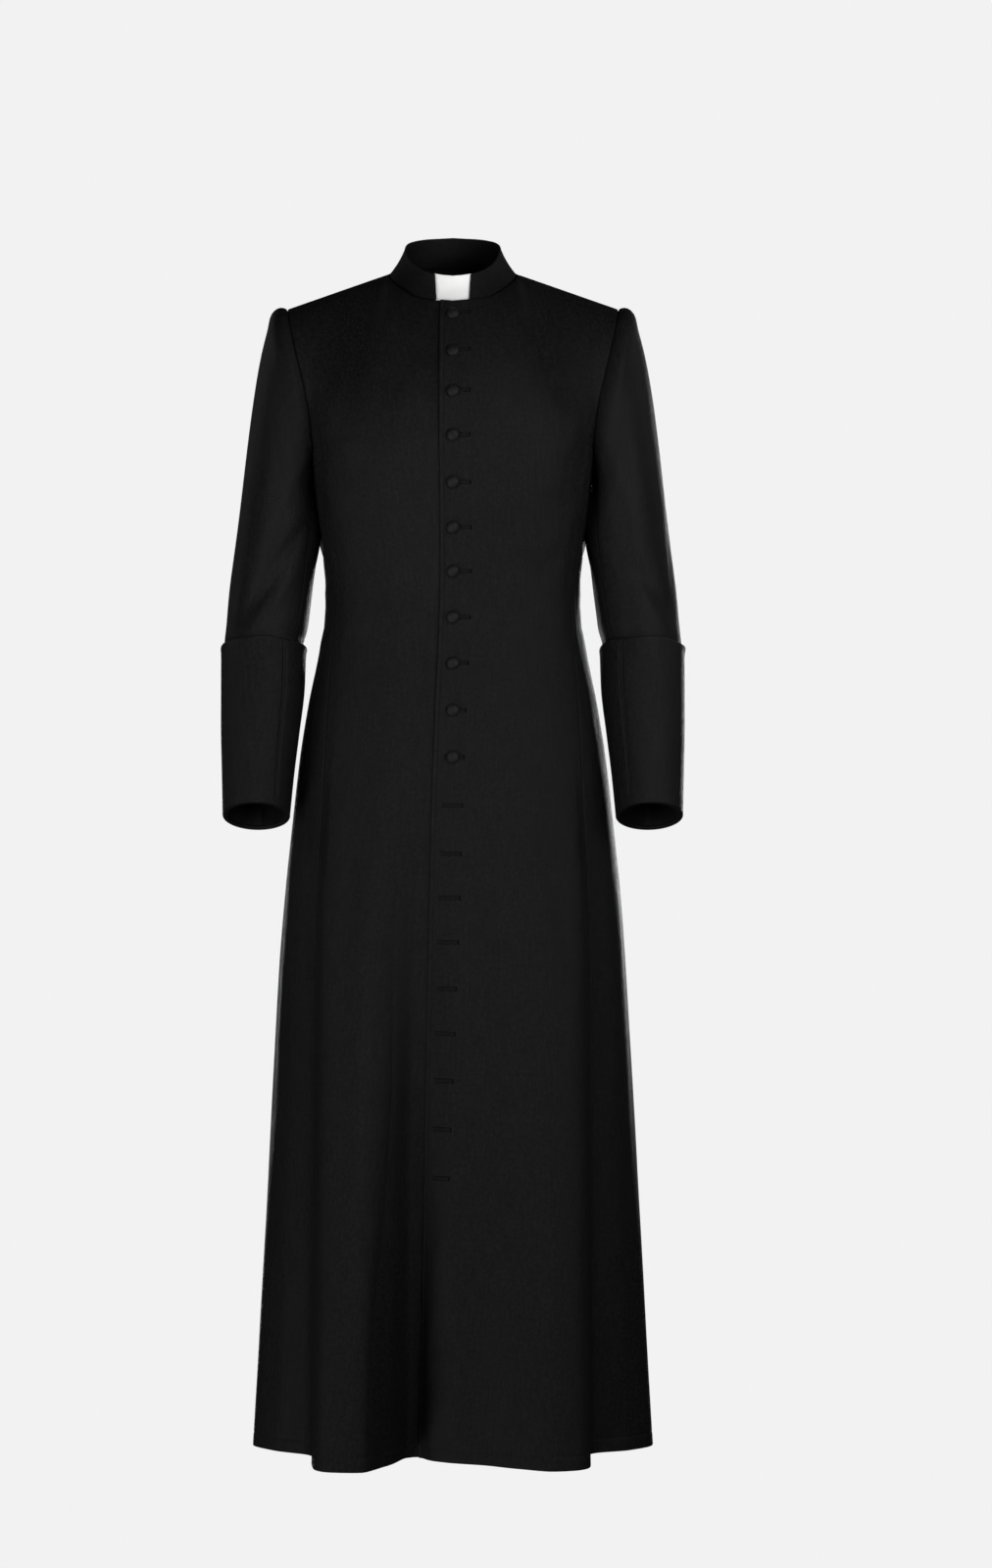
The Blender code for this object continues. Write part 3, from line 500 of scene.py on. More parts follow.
# Mesh steps of the cloth, and how its edges roll in at a seam
CLOTH_STEP = 0.0075
ROW_STEP = 0.0085
SEAM_STEPS = [0.0002, 0.0005, 0.0010, 0.0016, 0.0024, 0.0036, 0.0054]
EDGE_STEPS = [0.0, 0.0003, 0.0008, 0.0014, 0.0022, 0.0034]
LAP_STEPS = EDGE_STEPS + [0.0042, 0.0047, 0.0051, 0.0055, 0.0060, 0.0068, 0.0085]
SEAM_ROLL = 0.0010
PRESSED_ROLL = 0.0006
SEAM_WIDTH = 0.0024
BODY_FADE = 0.020
SLEEVE_FADE = 0.014
INNER_SHARE = 0.35
LAP_BEAD = 0.00030
LAP_BEAD_WIDTH = 0.0014
HEM_SWELL = 0.00022
HEM_STITCH_WIDTH = 0.0009
HEAD_SWELL = 0.0042
HEAD_SWELL_AT = 0.0180
HEAD_SWELL_WIDTH = 0.0150
EDGE_ROLL = 0.0007
EDGE_WIDTH = 0.0012
STITCH_LINE = 0.0052
STITCH_DIP = 0.00038
STITCH_WIDTH = 0.0006
HEM_DEPTH = 0.0170
HEM_DIP = 0.00030
TURN_METRES = 0.12
# Edges sharper than these angles are kept crisp
WALL_SHARP_ANGLE = 50.0
BUTTON_SHARP_ANGLE = 60.0
LIP_SHARP_ANGLE = 40.0

# Soft creases, as troughs below 0 and ridges above it. Across is x on
# the front and back and y on the sides.
Crease = namedtuple("Crease", "where across_0 z_0 across_1 z_1 width depth")


def crease_table(groups):
    return [Crease(where, *row) for where, rows in groups.items() for row in rows]


BODY_CREASES = crease_table({
    "front": [
        # waist and chest, in front
        (-0.150, -0.330, -0.085, -0.395, 0.011, -0.0016),
        (-0.152, -0.395, -0.098, -0.430, 0.010, 0.0012),
        (0.150, -0.322, 0.096, -0.372, 0.011, -0.0017),
        (0.153, -0.400, 0.088, -0.440, 0.012, 0.0010),
        (-0.172, -0.175, -0.118, -0.290, 0.016, -0.0030),
        (0.172, -0.170, 0.128, -0.310, 0.017, -0.0036),
        (-0.160, -0.120, -0.120, -0.165, 0.013, 0.0010),
        (0.085, -0.110, 0.130, -0.185, 0.022, 0.0014),
        (-0.052, -0.070, -0.085, -0.140, 0.034, -0.0042),
        (-0.100, -0.215, -0.034, -0.240, 0.030, 0.0030),
        (0.010, -0.055, 0.060, -0.075, 0.007, -0.0006),
        # the shade beside the lap, in front
        (-0.050, -0.620, -0.058, -1.120, 0.017, -0.0084),
        (-0.056, -1.010, -0.092, -1.460, 0.020, -0.0066),
        (-0.092, -0.680, -0.130, -1.440, 0.022, 0.0050),
        (-0.054, -1.180, -0.056, -1.520, 0.010, -0.0030),
        # skirt, in front
        (-0.105, -0.560, -0.150, -0.980, 0.014, -0.0016),
        (-0.078, -0.520, -0.098, -0.860, 0.012, 0.0022),
        (0.044, -0.500, 0.036, -1.000, 0.010, -0.0020),
        (0.070, -0.620, 0.078, -1.250, 0.014, 0.0016),
        (0.120, -0.560, 0.132, -0.900, 0.012, -0.0014),
        (-0.118, -1.020, -0.124, -1.420, 0.010, 0.0012),
        (0.098, -0.980, 0.104, -1.430, 0.012, -0.0012),
    ],
    "lap": [
        # on the lap's own layer, below its last buttonhole
        (-0.020, -1.170, -0.023, -1.500, 0.015, 0.0058),
    ],
    "back": [
        # back
        (-0.160, -0.130, -0.080, -0.190, 0.016, -0.0022),
        (0.158, -0.128, 0.090, -0.180, 0.015, -0.0018),
        (-0.060, -0.045, 0.062, -0.050, 0.010, -0.0012),
        (-0.125, -0.355, -0.030, -0.385, 0.011, -0.0020),
        (0.120, -0.345, 0.040, -0.380, 0.011, -0.0017),
        (-0.115, -0.410, -0.045, -0.425, 0.010, 0.0014),
        (0.118, -0.405, 0.035, -0.430, 0.012, 0.0011),
        (-0.070, -0.560, -0.088, -1.050, 0.013, -0.0018),
        (0.072, -0.600, 0.090, -1.150, 0.014, -0.0016),
        (0.030, -0.700, 0.028, -1.250, 0.010, 0.0012),
        (-0.118, -0.900, -0.124, -1.400, 0.011, 0.0014),
    ],
    "side": [
        # sides
        (-0.045, -0.310, 0.040, -0.350, 0.010, -0.0020),
        (-0.050, -0.375, 0.045, -0.395, 0.009, 0.0012),
        (-0.040, -0.430, 0.050, -0.415, 0.010, -0.0013),
        (-0.012, -0.600, -0.016, -1.150, 0.012, -0.0020),
        (0.022, -0.720, 0.026, -1.350, 0.011, 0.0016),
        # where the sleeve hangs close to the side
        (0.030, -0.215, 0.030, -0.350, 0.020, 0.0066),
    ],
})
# On the sleeves, across is the turn round the arm, from 0 at the outside
SLEEVE_CREASES = crease_table({
    "right": [
        (1.14, -0.300, 0.52, -0.424, 0.0110, -0.0046),
        (1.10, -0.345, 0.66, -0.432, 0.0120, 0.0026),
        (1.02, -0.215, 0.74, -0.300, 0.0100, 0.0016),
        (1.24, -0.340, 0.98, -0.362, 0.0070, -0.0012),
        (0.26, -0.330, 0.36, -0.410, 0.0100, -0.0014),
    ],
    "left": [
        (1.10, -0.318, 0.44, -0.402, 0.0115, -0.0030),
        (1.00, -0.352, 0.50, -0.428, 0.0130, 0.0020),
        (0.92, -0.190, 0.70, -0.310, 0.0110, 0.0014),
        (1.24, -0.350, 0.98, -0.372, 0.0070, -0.0012),
        (0.20, -0.300, 0.30, -0.400, 0.0100, -0.0012),
    ],
    "both": [
        (1.35, -0.235, 1.35, -0.352, 0.0160, 0.0064),
        (1.12, -0.262, 0.98, -0.232, 0.0080, -0.0014),
        (1.60, -0.270, 2.02, -0.238, 0.0080, -0.0022),
        (2.50, -0.345, 1.95, -0.385, 0.0120, -0.0030),
        (2.58, -0.372, 2.10, -0.412, 0.0100, 0.0022),
        (2.40, -0.290, 2.05, -0.330, 0.0110, -0.0016),
        (1.50, -0.300, 1.52, -0.430, 0.0110, -0.0016),
    ],
})
CUFF_CREASES = crease_table({
    "both": [
        (1.04, -0.430, 1.08, -0.660, 0.0013, -0.0017),
        (1.068, -0.430, 1.108, -0.660, 0.0013, -0.0012),
        (0.62, -0.450, 0.58, -0.620, 0.0140, 0.0010),
        (2.20, -0.450, 2.24, -0.640, 0.0140, -0.0010),
        (2.52, -0.460, 2.50, -0.640, 0.0160, 0.0010),
    ],
})


def crease_depth(crease, across, z):
    """How far one crease moves the cloth, fading out at both of its ends."""
    run = np.array([crease.across_1 - crease.across_0, crease.z_1 - crease.z_0])
    off_a, off_z = across - crease.across_0, z - crease.z_0
    share = (off_a * run[0] + off_z * run[1]) / (run @ run)
    held = np.clip(share, 0.0, 1.0)
    gap = (off_a - held * run[0]) ** 2 + (off_z - held * run[1]) ** 2
    fade = np.sin(np.pi * (0.04 + 0.92 * held)) ** 0.7
    return crease.depth * np.exp(-gap / crease.width ** 2) * fade


def body_relief(point, lap=False):
    x, y, z = point[..., 0], point[..., 1], point[..., 2]
    weights = {
        "front": smooth(0.5 - y / 0.06),
        "back": smooth(0.5 + y / 0.06),
        "side": smooth((np.abs(x) - 0.120) / 0.04),
    }
    weights["lap"] = weights["front"] * lap
    total = np.zeros(z.shape)
    for crease in BODY_CREASES:
        across = y if crease.where == "side" else x
        total += crease_depth(crease, across, z) * weights[crease.where]
    return total


def arm_relief(creases, side, turn, z):
    total = np.zeros(z.shape)
    for crease in creases:
        if crease.where in ("both", "left" if side > 0 else "right"):
            scaled = crease._replace(
                across_0=crease.across_0 * TURN_METRES, across_1=crease.across_1 * TURN_METRES,
            )
            total += crease_depth(scaled, (turn % 3.0) * TURN_METRES, z)
    return total


def drift(point):
    """The slow unevenness that hanging cloth has everywhere."""
    x, y, z = point[..., 0], point[..., 1], point[..., 2]
    round_it = np.arctan2(x, -y)
    one = np.sin(17.0 * round_it + 4.0 * z + 0.6) * np.sin(9.0 * z + 2.0 * round_it)
    two = np.sin(41.0 * round_it - 7.0 * z + 1.7) * np.sin(23.0 * z + 5.0 * round_it + 0.9)
    return 0.00040 * one + 0.00022 * two


def lengths(points, axis):
    """Running length along one axis of a grid of points."""
    steps = np.linalg.norm(np.diff(points, axis=axis), axis=-1)
    start = np.zeros_like(np.take(steps, [0], axis=axis))
    return np.concatenate([start, np.cumsum(steps, axis=axis)], axis=axis)


def roll(distance, depth, width):
    return depth * (1.0 - np.sin(0.5 * np.pi * np.clip(distance / width, 0.0, 1.0)))


def spread(first, last, step, ends=()):
    """Even steps between two values, with closer ones added from a given list."""
    count = max(int(math.ceil(abs(last - first) / step)), 2)
    return sorted(set(np.round(list(np.linspace(first, last, count + 1)) + list(ends), 6)))


def place_grid(surface, rows, start, end, start_steps, end_steps, step=CLOTH_STEP):
    """Columns at true distances from both edges, and evenly between them."""
    dense = np.linspace(start, end, 500)
    rows = np.asarray(rows)
    run = lengths(surface(dense[None, :], rows[:, None]), 1)
    widest = run[np.argmax(run[:, -1])]
    count = max(int(widest[-1] / step), 4)
    even = np.interp(np.linspace(0, widest[-1], count + 1), widest, dense)
    shares = 0.6 * (even - start) / (end - start) + 0.4 * np.linspace(0, 1, count + 1)
    grid = []
    for line in run:
        left = np.interp(start_steps, line, dense)
        right = np.interp(line[-1] - np.array(end_steps[::-1]), line, dense)
        middle = left[-1] + (right[0] - left[-1]) * shares[1:-1]
        grid.append(np.concatenate([left, middle, right]))
    places = np.array(grid)
    along = np.array([np.interp(p, dense, line) for p, line in zip(places, run)])
    return places, along, run[:, -1:] - along


def grid_faces(rows, columns):
    """Quads of a closed wall made of an outer and an inner grid."""
    index = np.arange(rows * columns).reshape(rows, columns)
    right, left = index[:, 1:], index[:, :-1]
    quads = np.stack([left[:-1], right[:-1], right[1:], left[1:]], axis=-1).reshape(-1, 4)
    back = quads[:, ::-1] + rows * columns
    rims = []
    for row in (0, rows - 1):
        a, b = left[row], right[row]
        rim = np.stack([a, b, b + rows * columns, a + rows * columns], axis=-1)
        rims.append(rim[:, ::-1] if row == 0 else rim)
    for column in (0, columns - 1):
        a, b = index[:-1, column], index[1:, column]
        rim = np.stack([a, b, b + rows * columns, a + rows * columns], axis=-1)
        rims.append(rim if column == 0 else rim[:, ::-1])
    return np.concatenate([quads, back] + rims)


def volume_sign(vertices, faces):
    a, b, c, d = (vertices[faces[:, i]] for i in range(4))
    middle = vertices.mean(axis=0)
    first = np.einsum("ij,ij->i", a - middle, np.cross(b - middle, c - middle))
    second = np.einsum("ij,ij->i", a - middle, np.cross(c - middle, d - middle))
    return first.sum() + second.sum()


def link_mesh(name, points, faces, look, uv=None, angle=None):
    """An object from points and faces, with the cloth's UV for each point."""
    mesh = bpy.data.meshes.new(name)
    mesh.from_pydata(np.asarray(points, float).tolist(), [], [list(map(int, f)) for f in faces])
    mesh.update()
    if uv is not None:
        corners = np.zeros(len(mesh.loops), int)
        mesh.loops.foreach_get("vertex_index", corners)
        layer = mesh.uv_layers.new(name="cloth")
        layer.data.foreach_set("uv", np.asarray(uv, float)[corners].reshape(-1))
    mesh.shade_smooth()
    if angle is not None:
        mesh.set_sharp_from_angle(angle=math.radians(angle))
    mesh.materials.append(look)
    made = bpy.data.objects.new(name, mesh)
    bpy.context.scene.collection.objects.link(made)
    return made


def make_object(name, vertices, faces, look, uv, painted_edge_highlight):
    """A closed wall, with its UV in metres and its edges marked for a painted highlight."""
    if volume_sign(vertices, faces) < 0.0:
        faces = faces[:, ::-1]
    made = link_mesh(name, vertices, faces, look, uv, WALL_SHARP_ANGLE)
    edge_highlight_paint = made.data.attributes.new("painted_edge_highlight", "FLOAT", "POINT")
    edge_highlight_paint.data.foreach_set("value", np.asarray(painted_edge_highlight, float))
    return made


def wall_object(name, outer, inner, look, uv, painted_edge_highlight):
    vertices = np.concatenate([outer.reshape(-1, 3), inner.reshape(-1, 3)])
    flat = uv.reshape(-1, 2)
    return make_object(
        name, vertices, grid_faces(*outer.shape[:2]), look,
        np.concatenate([flat, flat]), np.concatenate([painted_edge_highlight.reshape(-1), np.zeros(painted_edge_highlight.size)]),
    )


def sheet_size(points):
    """The flat size of a cloth grid: its widest row, longest column, area."""
    width = lengths(points, 1)[:, -1].max()
    length = lengths(points, 0)[-1].max()
    across = points[:-1, 1:] - points[:-1, :-1]
    down = points[1:, :-1] - points[:-1, :-1]
    area = np.linalg.norm(np.cross(across, down), axis=-1).sum()
    return width, length, area


def dress(piece, node=None):
    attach(piece, ROOT)
    if node:
        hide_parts(node)


def lap_lift(place):
    """How far the upper layer stands off the under layer's surface."""
    return LAP_LIFT * (1.0 - smooth((place - UNDER_EDGE) / (LIFT_END - UNDER_EDGE)))


HEM_ROWS = [HEM_Z + up for up in (0.0003, 0.0008, 0.0016, 0.0030, 0.0060, 0.0105,
                                  0.0145, 0.0160, 0.0170, 0.0180, 0.0195, 0.0230)]
SKIRT_ROWS = spread(HEM_Z, ARMHOLE_LINE_Z, ROW_STEP, HEM_ROWS)
TOP_SHARES = [1.0 - down for down in (0.0008, 0.0022, 0.0045, 0.0075, 0.0115, 0.0180)]
YOKE_ROWS = [share for share in spread(0.0, 1.0, 0.034, TOP_SHARES) if 0.0 < share < 1.0]
SIDE_TOP = [ARMHOLE_LINE_Z - down for down in (0.0002, 0.0006, 0.0012, 0.0020, 0.0035)]


# The yoke's ridge under each neck point is eased over so many folds
NECK_EASE_FOLDS = 0.95
NECK_EASE_ANGLE = 20.0
# The lap keeps flat for this far from its edge, down to its last buttonhole
LAP_BAND = 0.038
LAP_BAND_END = -1.180
LAP_CURL = 0.0010
LAP_CURL_WIDTH = 0.0060


def lap_fade(from_edge, z):
    """The lap keeps flat beside its edge as far down as its buttonholes go."""
    return smooth((from_edge - LAP_BAND * smooth((z - LAP_BAND_END) / 0.06)) / BODY_FADE)


def lap_curl(from_edge, from_top):
    """How far the lap's edge springs off the layer below it."""
    return LAP_CURL * np.exp(-(from_edge / LAP_CURL_WIDTH) ** 2) * smooth(from_top / 0.03)


def eased_body(place, row):
    """The trunk's cloth, with the ridge below each neck point smoothed out."""
    point = cloth_body(place, row)
    angle = np.abs(FOLD_AT["chest_angle"](place))
    from_middle = np.where(angle < 90.0, angle, 180.0 - angle)
    near = smooth(1.0 - np.abs(from_middle - NECK_CHEST_ANGLE) / NECK_EASE_ANGLE)
    reach = NECK_EASE_FOLDS * near * smooth((1.0 - row) / 0.20) * (row > 0.0)
    moved = reach > 0.001
    if moved.any():
        places, rows = place[moved], row[moved]
        total = 3.0 * point[moved]
        for step, weight in ((-1.0, 1.0), (-0.5, 2.0), (0.5, 2.0), (1.0, 1.0)):
            total += weight * cloth_body(places + step * reach[moved], rows)
        point[moved] = total / 9.0
    return point


def body_sheet(name, start, end, limits, lap=False, open_end=False):
    """One cut piece of the trunk's cloth as a thin shell."""
    side = name.startswith("side")
    if side:
        rows = [row for row in spread(HEM_Z, ARMHOLE_LINE_Z, ROW_STEP, HEM_ROWS + SIDE_TOP)
                if row < ARMHOLE_LINE_Z]
    else:
        rows = SKIRT_ROWS + YOKE_ROWS
    rows = np.array(rows)
    start_steps = LAP_STEPS if lap else SEAM_STEPS
    end_steps = EDGE_STEPS if open_end else SEAM_STEPS
    places, from_start, from_end = place_grid(cloth_body, rows, start, end, start_steps, end_steps)
    grid_rows = np.broadcast_to(rows[:, None], places.shape)
    base = cloth_body(places, grid_rows) if side else eased_body(places, grid_rows)
    normal = body_normal(places, grid_rows, *limits)
    up = lengths(base, 0)
    from_top = up[-1:] - up
    move = body_relief(base, lap) + drift(base)
    start_fade = lap_fade(from_start, base[..., 2]) if lap else smooth(from_start / BODY_FADE)
    edge_fade = np.minimum(start_fade, smooth(from_end / BODY_FADE))
    edge_fade = np.minimum(edge_fade, smooth(from_top / BODY_FADE))
    move *= edge_fade
    if lap:
        move -= roll(from_start, EDGE_ROLL, EDGE_WIDTH)
        move -= STITCH_DIP * np.exp(-((from_start - STITCH_LINE) / STITCH_WIDTH) ** 2)
        move += LAP_BEAD * np.exp(-((from_start - 0.5 * STITCH_LINE) / LAP_BEAD_WIDTH) ** 2)
    else:
        move -= roll(from_start, PRESSED_ROLL, SEAM_WIDTH)
    if open_end:
        move -= roll(from_end, EDGE_ROLL, EDGE_WIDTH)
    else:
        move -= roll(from_end, PRESSED_ROLL, SEAM_WIDTH)
    move -= roll(from_top, SEAM_ROLL, SEAM_WIDTH)
    move -= roll(up, EDGE_ROLL, EDGE_WIDTH)
    move -= HEM_DIP * np.exp(-((up - HEM_DEPTH) / HEM_STITCH_WIDTH) ** 2)
    move += HEM_SWELL * smooth((HEM_DEPTH - up) / 0.004)
    lift = lap_lift(places) + lap_curl(from_start, from_top) if lap else 0.0
    outer = base + normal * (lift + move)[..., None]
    inner = base + normal * (lift - WALL + INNER_SHARE * move * edge_fade)[..., None]
    # painted highlight: the hem's lower edge, the lap edge and the under layer's edge are marked to
    # be lighter, for the light their rolled edges catch
    painted_edge_highlight = 0.8 * np.exp(-(up / 0.002) ** 2)
    if lap:
        painted_edge_highlight = np.maximum(painted_edge_highlight, np.exp(-((from_start - 0.0012) / 0.0012) ** 2))
    if open_end:
        painted_edge_highlight = np.maximum(painted_edge_highlight, np.exp(-(from_end / 0.0015) ** 2))
    uv = np.stack([from_start + 0.003 * start, up], axis=-1)
    made = wall_object(name + "_cloth", outer, inner, LOOKS["wool"], uv, painted_edge_highlight)
    sheet_size(base)
    dress(made, name)
    return made


def add_trunk():
    pieces = {}
    front = (ROOTS[-1, True], ROOTS[1, True])
    pieces["front_left"] = body_sheet("front_left", LAP_EDGE, ROOTS[1, True], front, lap=True)
    pieces["front_right"] = body_sheet(
        "front_right", ROOTS[-1, True], UNDER_EDGE, front, open_end=True,
    )
    pieces["side_right"] = body_sheet(
        "side_right", ROOTS[-1, False], ROOTS[-1, True], (0, LAST_FOLD),
    )
    pieces["side_left"] = body_sheet("side_left", ROOTS[1, True], ROOTS[1, False], (0, LAST_FOLD))
    pieces["back_right"] = body_sheet("back_right", 0, ROOTS[-1, False], (0, ROOTS[-1, False]))
    pieces["back_left"] = body_sheet(
        "back_left", ROOTS[1, False], LAST_FOLD, (ROOTS[1, False], LAST_FOLD),
    )
    return pieces


HEAD_TOP = [0.0, 0.0022, 0.0055, 0.0100, 0.0160, 0.0250, 0.0380, 0.0550]
SLEEVE_ROWS = spread(0.0, 1.0, 0.034, HEAD_TOP) + spread(1.0, 4.2, 0.14)[1:]
SLEEVE_ROWS += spread(4.2, 8.0, 0.25)[1:]


def sleeve_sheet(side, part, start, end):
    """One cut piece of a sleeve as a thin shell."""
    name = "sleeve_%s_%s" % ("left" if side > 0 else "right", part)
    rows = np.array(SLEEVE_ROWS)

    def surface(turn, row):
        return cloth_sleeve(side, turn, row)

    turns, from_start, from_end = place_grid(surface, rows, start, end, SEAM_STEPS, SEAM_STEPS)
    grid_rows = np.broadcast_to(rows[:, None], turns.shape)
    base = cloth_sleeve(side, turns, grid_rows)
    normal = sleeve_normal(side, turns, grid_rows)
    down = lengths(base, 0)
    edge_fade = np.minimum(smooth(from_start / SLEEVE_FADE), smooth(from_end / SLEEVE_FADE))
    fade = edge_fade * smooth(down / 0.02) * smooth((4.0 - grid_rows) / 0.15)
    move = (arm_relief(SLEEVE_CREASES, side, turns, base[..., 2]) + drift(base)) * fade
    outside = np.cos(np.radians(HEAD["angle"](turns % 3.0)))
    rope = smooth((outside + 0.45) / 0.9)
    swell = HEAD_SWELL * np.exp(-((down - HEAD_SWELL_AT) / HEAD_SWELL_WIDTH) ** 2)
    swell *= smooth(down / 0.009)
    move += swell * rope * edge_fade
    move -= roll(from_start, 0.7 * SEAM_ROLL, SEAM_WIDTH)
    move -= roll(from_end, 0.7 * SEAM_ROLL, SEAM_WIDTH)
    move -= roll(down, SEAM_ROLL, SEAM_WIDTH)
    outer = base + normal * move[..., None]
    inner = base + normal * (INNER_SHARE * move * fade - WALL)[..., None]
    uv = np.stack([0.5 * (from_start - from_end) + 0.31 * side, -down], axis=-1)
    # painted highlight along the sleeve head's seam, on the outer side of the arm
    painted_edge_highlight = 0.35 * np.exp(-((down - 0.008) / 0.005) ** 2) * rope
    made = wall_object(name + "_cloth", outer, inner, LOOKS["wool"], uv, painted_edge_highlight)
    sheet_size(base)
    dress(made, name)
    return name, made


def add_sleeves():
    pieces = {}
    for side in (1, -1):
        for part, start, end in (
            ("upper", SLEEVE_SEAM_BACK - 3.0, SLEEVE_SEAM_FRONT),
            ("under", SLEEVE_SEAM_FRONT, SLEEVE_SEAM_BACK),
        ):
            name, made = sleeve_sheet(side, part, start, end)
            pieces[name] = made
    return pieces


# The cuff's outline from its top edge over the outside, round its lower edge
# and back up inside: level, growth beyond the sleeve, drop below the level
CuffPoint = namedtuple("CuffPoint", "level grow drop")
CUFF_TOP = 3.0
CUFF_TURNS = 96


def cuff_outline():
    outside = CUFF_GAP + 0.0020
    rows = [CuffPoint(CUFF_TOP, CUFF_GAP + 0.0005, 0.0)]
    for down, bevel in ((0.0, 0.0012), (0.012, 0.0007), (0.035, 0.0002), (0.07, 0.0), (0.12, 0.0)):
        rows.append(CuffPoint(CUFF_TOP + down, outside - bevel, 0.0))
    rows += [CuffPoint(level, outside, 0.0) for level in spread(3.2, 6.8, 0.13)]
    for down in (0.9, 0.95, 1.0):
        rows.append(CuffPoint(6.0 + down, outside, 0.0))
    rows.append(CuffPoint(LAST_LEVEL, outside, 0.0024))
    rows.append(CuffPoint(LAST_LEVEL, outside - 0.0004, 0.0033))
    rows.append(CuffPoint(LAST_LEVEL, 0.5 * outside, 0.0036))
    rows.append(CuffPoint(LAST_LEVEL, -0.0014, 0.0036))
    rows.append(CuffPoint(LAST_LEVEL, -0.0020, 0.0030))
    rows.append(CuffPoint(LAST_LEVEL, -0.0020, 0.0007))
    rows.append(CuffPoint(LAST_LEVEL, CUFF_GAP, 0.0007))
    rows += [CuffPoint(level, CUFF_GAP, 0.0) for level in reversed(spread(3.0, 6.9, 0.4))]
    return rows


def add_cuffs():
    """Each cuff is a band outside the sleeve, turned in under its end."""
    pieces = {}
    turns = np.array(sorted(set(np.round(np.concatenate(
        [np.linspace(0.0, 3.0, CUFF_TURNS + 1)[:-1], np.arange(1.016, 1.136, 0.005)]
    ), 5))))
    rows = cuff_outline()
    for side in (1, -1):
        name = "cuff_left" if side > 0 else "cuff_right"
        level = np.array([row.level for row in rows])[:, None]
        grow = np.array([row.grow for row in rows])[:, None]
        drop = np.array([row.drop for row in rows])[:, None]
        across = np.cos(np.radians(HEAD["angle"](turns)))[None, :]
        wave = 0.9 * np.sin(5.0 * turns * 2.094 + side)[None, :] * 0.0007
        near_top = np.exp(-((level - CUFF_TOP) / 0.18) ** 2)
        corner = np.clip(np.abs(across), 0.0, 1.0) ** 6
        spring = near_top * (0.0009 * corner + wave) * (grow > 0.0)
        lean = np.radians(ARM["lean"](level))
        ring = arm_ring(side, turns[None, :], level, grow + spring)
        ring[..., 2] += near_top * (wave - 0.0016 * corner)
        ring[..., 1] -= np.sin(lean) * drop
        ring[..., 2] -= np.cos(lean) * drop
        plain = arm_ring(side, turns[None, :], level)
        out = unit(arm_ring(side, turns[None, :], level, 0.01) - plain)
        face = (grow > CUFF_GAP + 0.0006) & (drop < 0.001)
        wide = np.broadcast_to(turns, ring.shape[:2])
        relief = arm_relief(CUFF_CREASES, side, wide, ring[..., 2])
        relief = relief * smooth((level - 3.02) / 0.2) * smooth((6.95 - level) / 0.2)
        ring += out * (relief * face)[..., None]
        count, columns = ring.shape[:2]
        index = np.arange(count * columns).reshape(count, columns)
        below = np.roll(index, -1, axis=0)
        faces = np.stack(
            [index, np.roll(index, -1, axis=1), np.roll(below, -1, axis=1), below], axis=-1,
        ).reshape(-1, 4)
        run = lengths(ring, 0)
        uv = np.stack(np.broadcast_arrays(turns[None, :] * 0.1, -run), axis=-1)
        # painted highlight along the cuff's top edge
        painted_edge_highlight = np.exp(-((run - 0.0015) / 0.0018) ** 2)
        made = make_object(
            name + "_cloth", ring.reshape(-1, 3), faces, LOOKS["wool"],
            uv.reshape(-1, 2), painted_edge_highlight.reshape(-1),
        )
        outside = arm_ring(side, turns[None, :], np.linspace(3.0, 7.0, 40)[:, None], CUFF_GAP)
        sheet_size(np.concatenate([outside, outside[:, :1]], axis=1))
        dress(made, name)
        pieces[name] = made
    return pieces


COLLAR_THICK = 0.0022


def add_collar():
    """The stand collar, with a square opening at the front."""
    heights = np.array([0.02, 0.03, 0.06, 0.11, 0.18, 0.3, 0.42, 0.54, 0.66, 0.78, 0.87, 0.93,
                        0.965, 0.985, 1.0])
    ends = COLLAR_END_ANGLE_BASE + (COLLAR_END_ANGLE_TOP - COLLAR_END_ANGLE_BASE) * heights
    shares = np.array(spread(0.0, 1.0, 0.011, [0.001, 0.003, 0.006, 0.994, 0.997, 0.999]))
    angles = ends[:, None] + (360.0 - 2.0 * ends[:, None]) * shares[None, :]
    angles = np.where(angles > 180.0, angles - 360.0, angles)
    grid_heights = np.broadcast_to(heights[:, None], angles.shape)
    base = collar_point(angles, grid_heights)
    normal = collar_normal(angles, grid_heights)
    across = lengths(base, 1)
    up = lengths(base, 0) + 0.0008
    from_end = np.minimum(across, across[:, -1:] - across)
    from_top = up[-1:] - up
    move = -roll(from_end, 0.0006, 0.0012) - roll(from_top, 0.0006, 0.0014)
    move -= roll(up, 0.0004, 0.0016)
    move -= 0.00022 * np.exp(-((from_top - 0.0052) / 0.0006) ** 2)
    move += 0.25 * drift(base)
    outer = base + normal * move[..., None]
    inward = roll(from_top, 0.0005, 0.0014) + roll(from_end, 0.0005, 0.0012)
    inner = base + normal * (inward - COLLAR_THICK)[..., None]
    uv = np.stack([across + 1.7, up], axis=-1)
    # painted highlight along the collar's top edge and its front ends
    painted_edge_highlight = np.exp(-(from_top / 0.0012) ** 2) + np.exp(-(from_end / 0.0010) ** 2)
    made = wall_object("collar_cloth", outer, inner, LOOKS["collar"], uv, np.clip(painted_edge_highlight, 0, 1))
    sheet_size(base)
    dress(made, "collar")
    return made


TAB_END_ANGLE = 38.0
TAB_TUCK = 0.09
TAB_SMOOTHING = 7.0
TAB_DEPTH = 0.0032
TAB_WALL = 0.0010


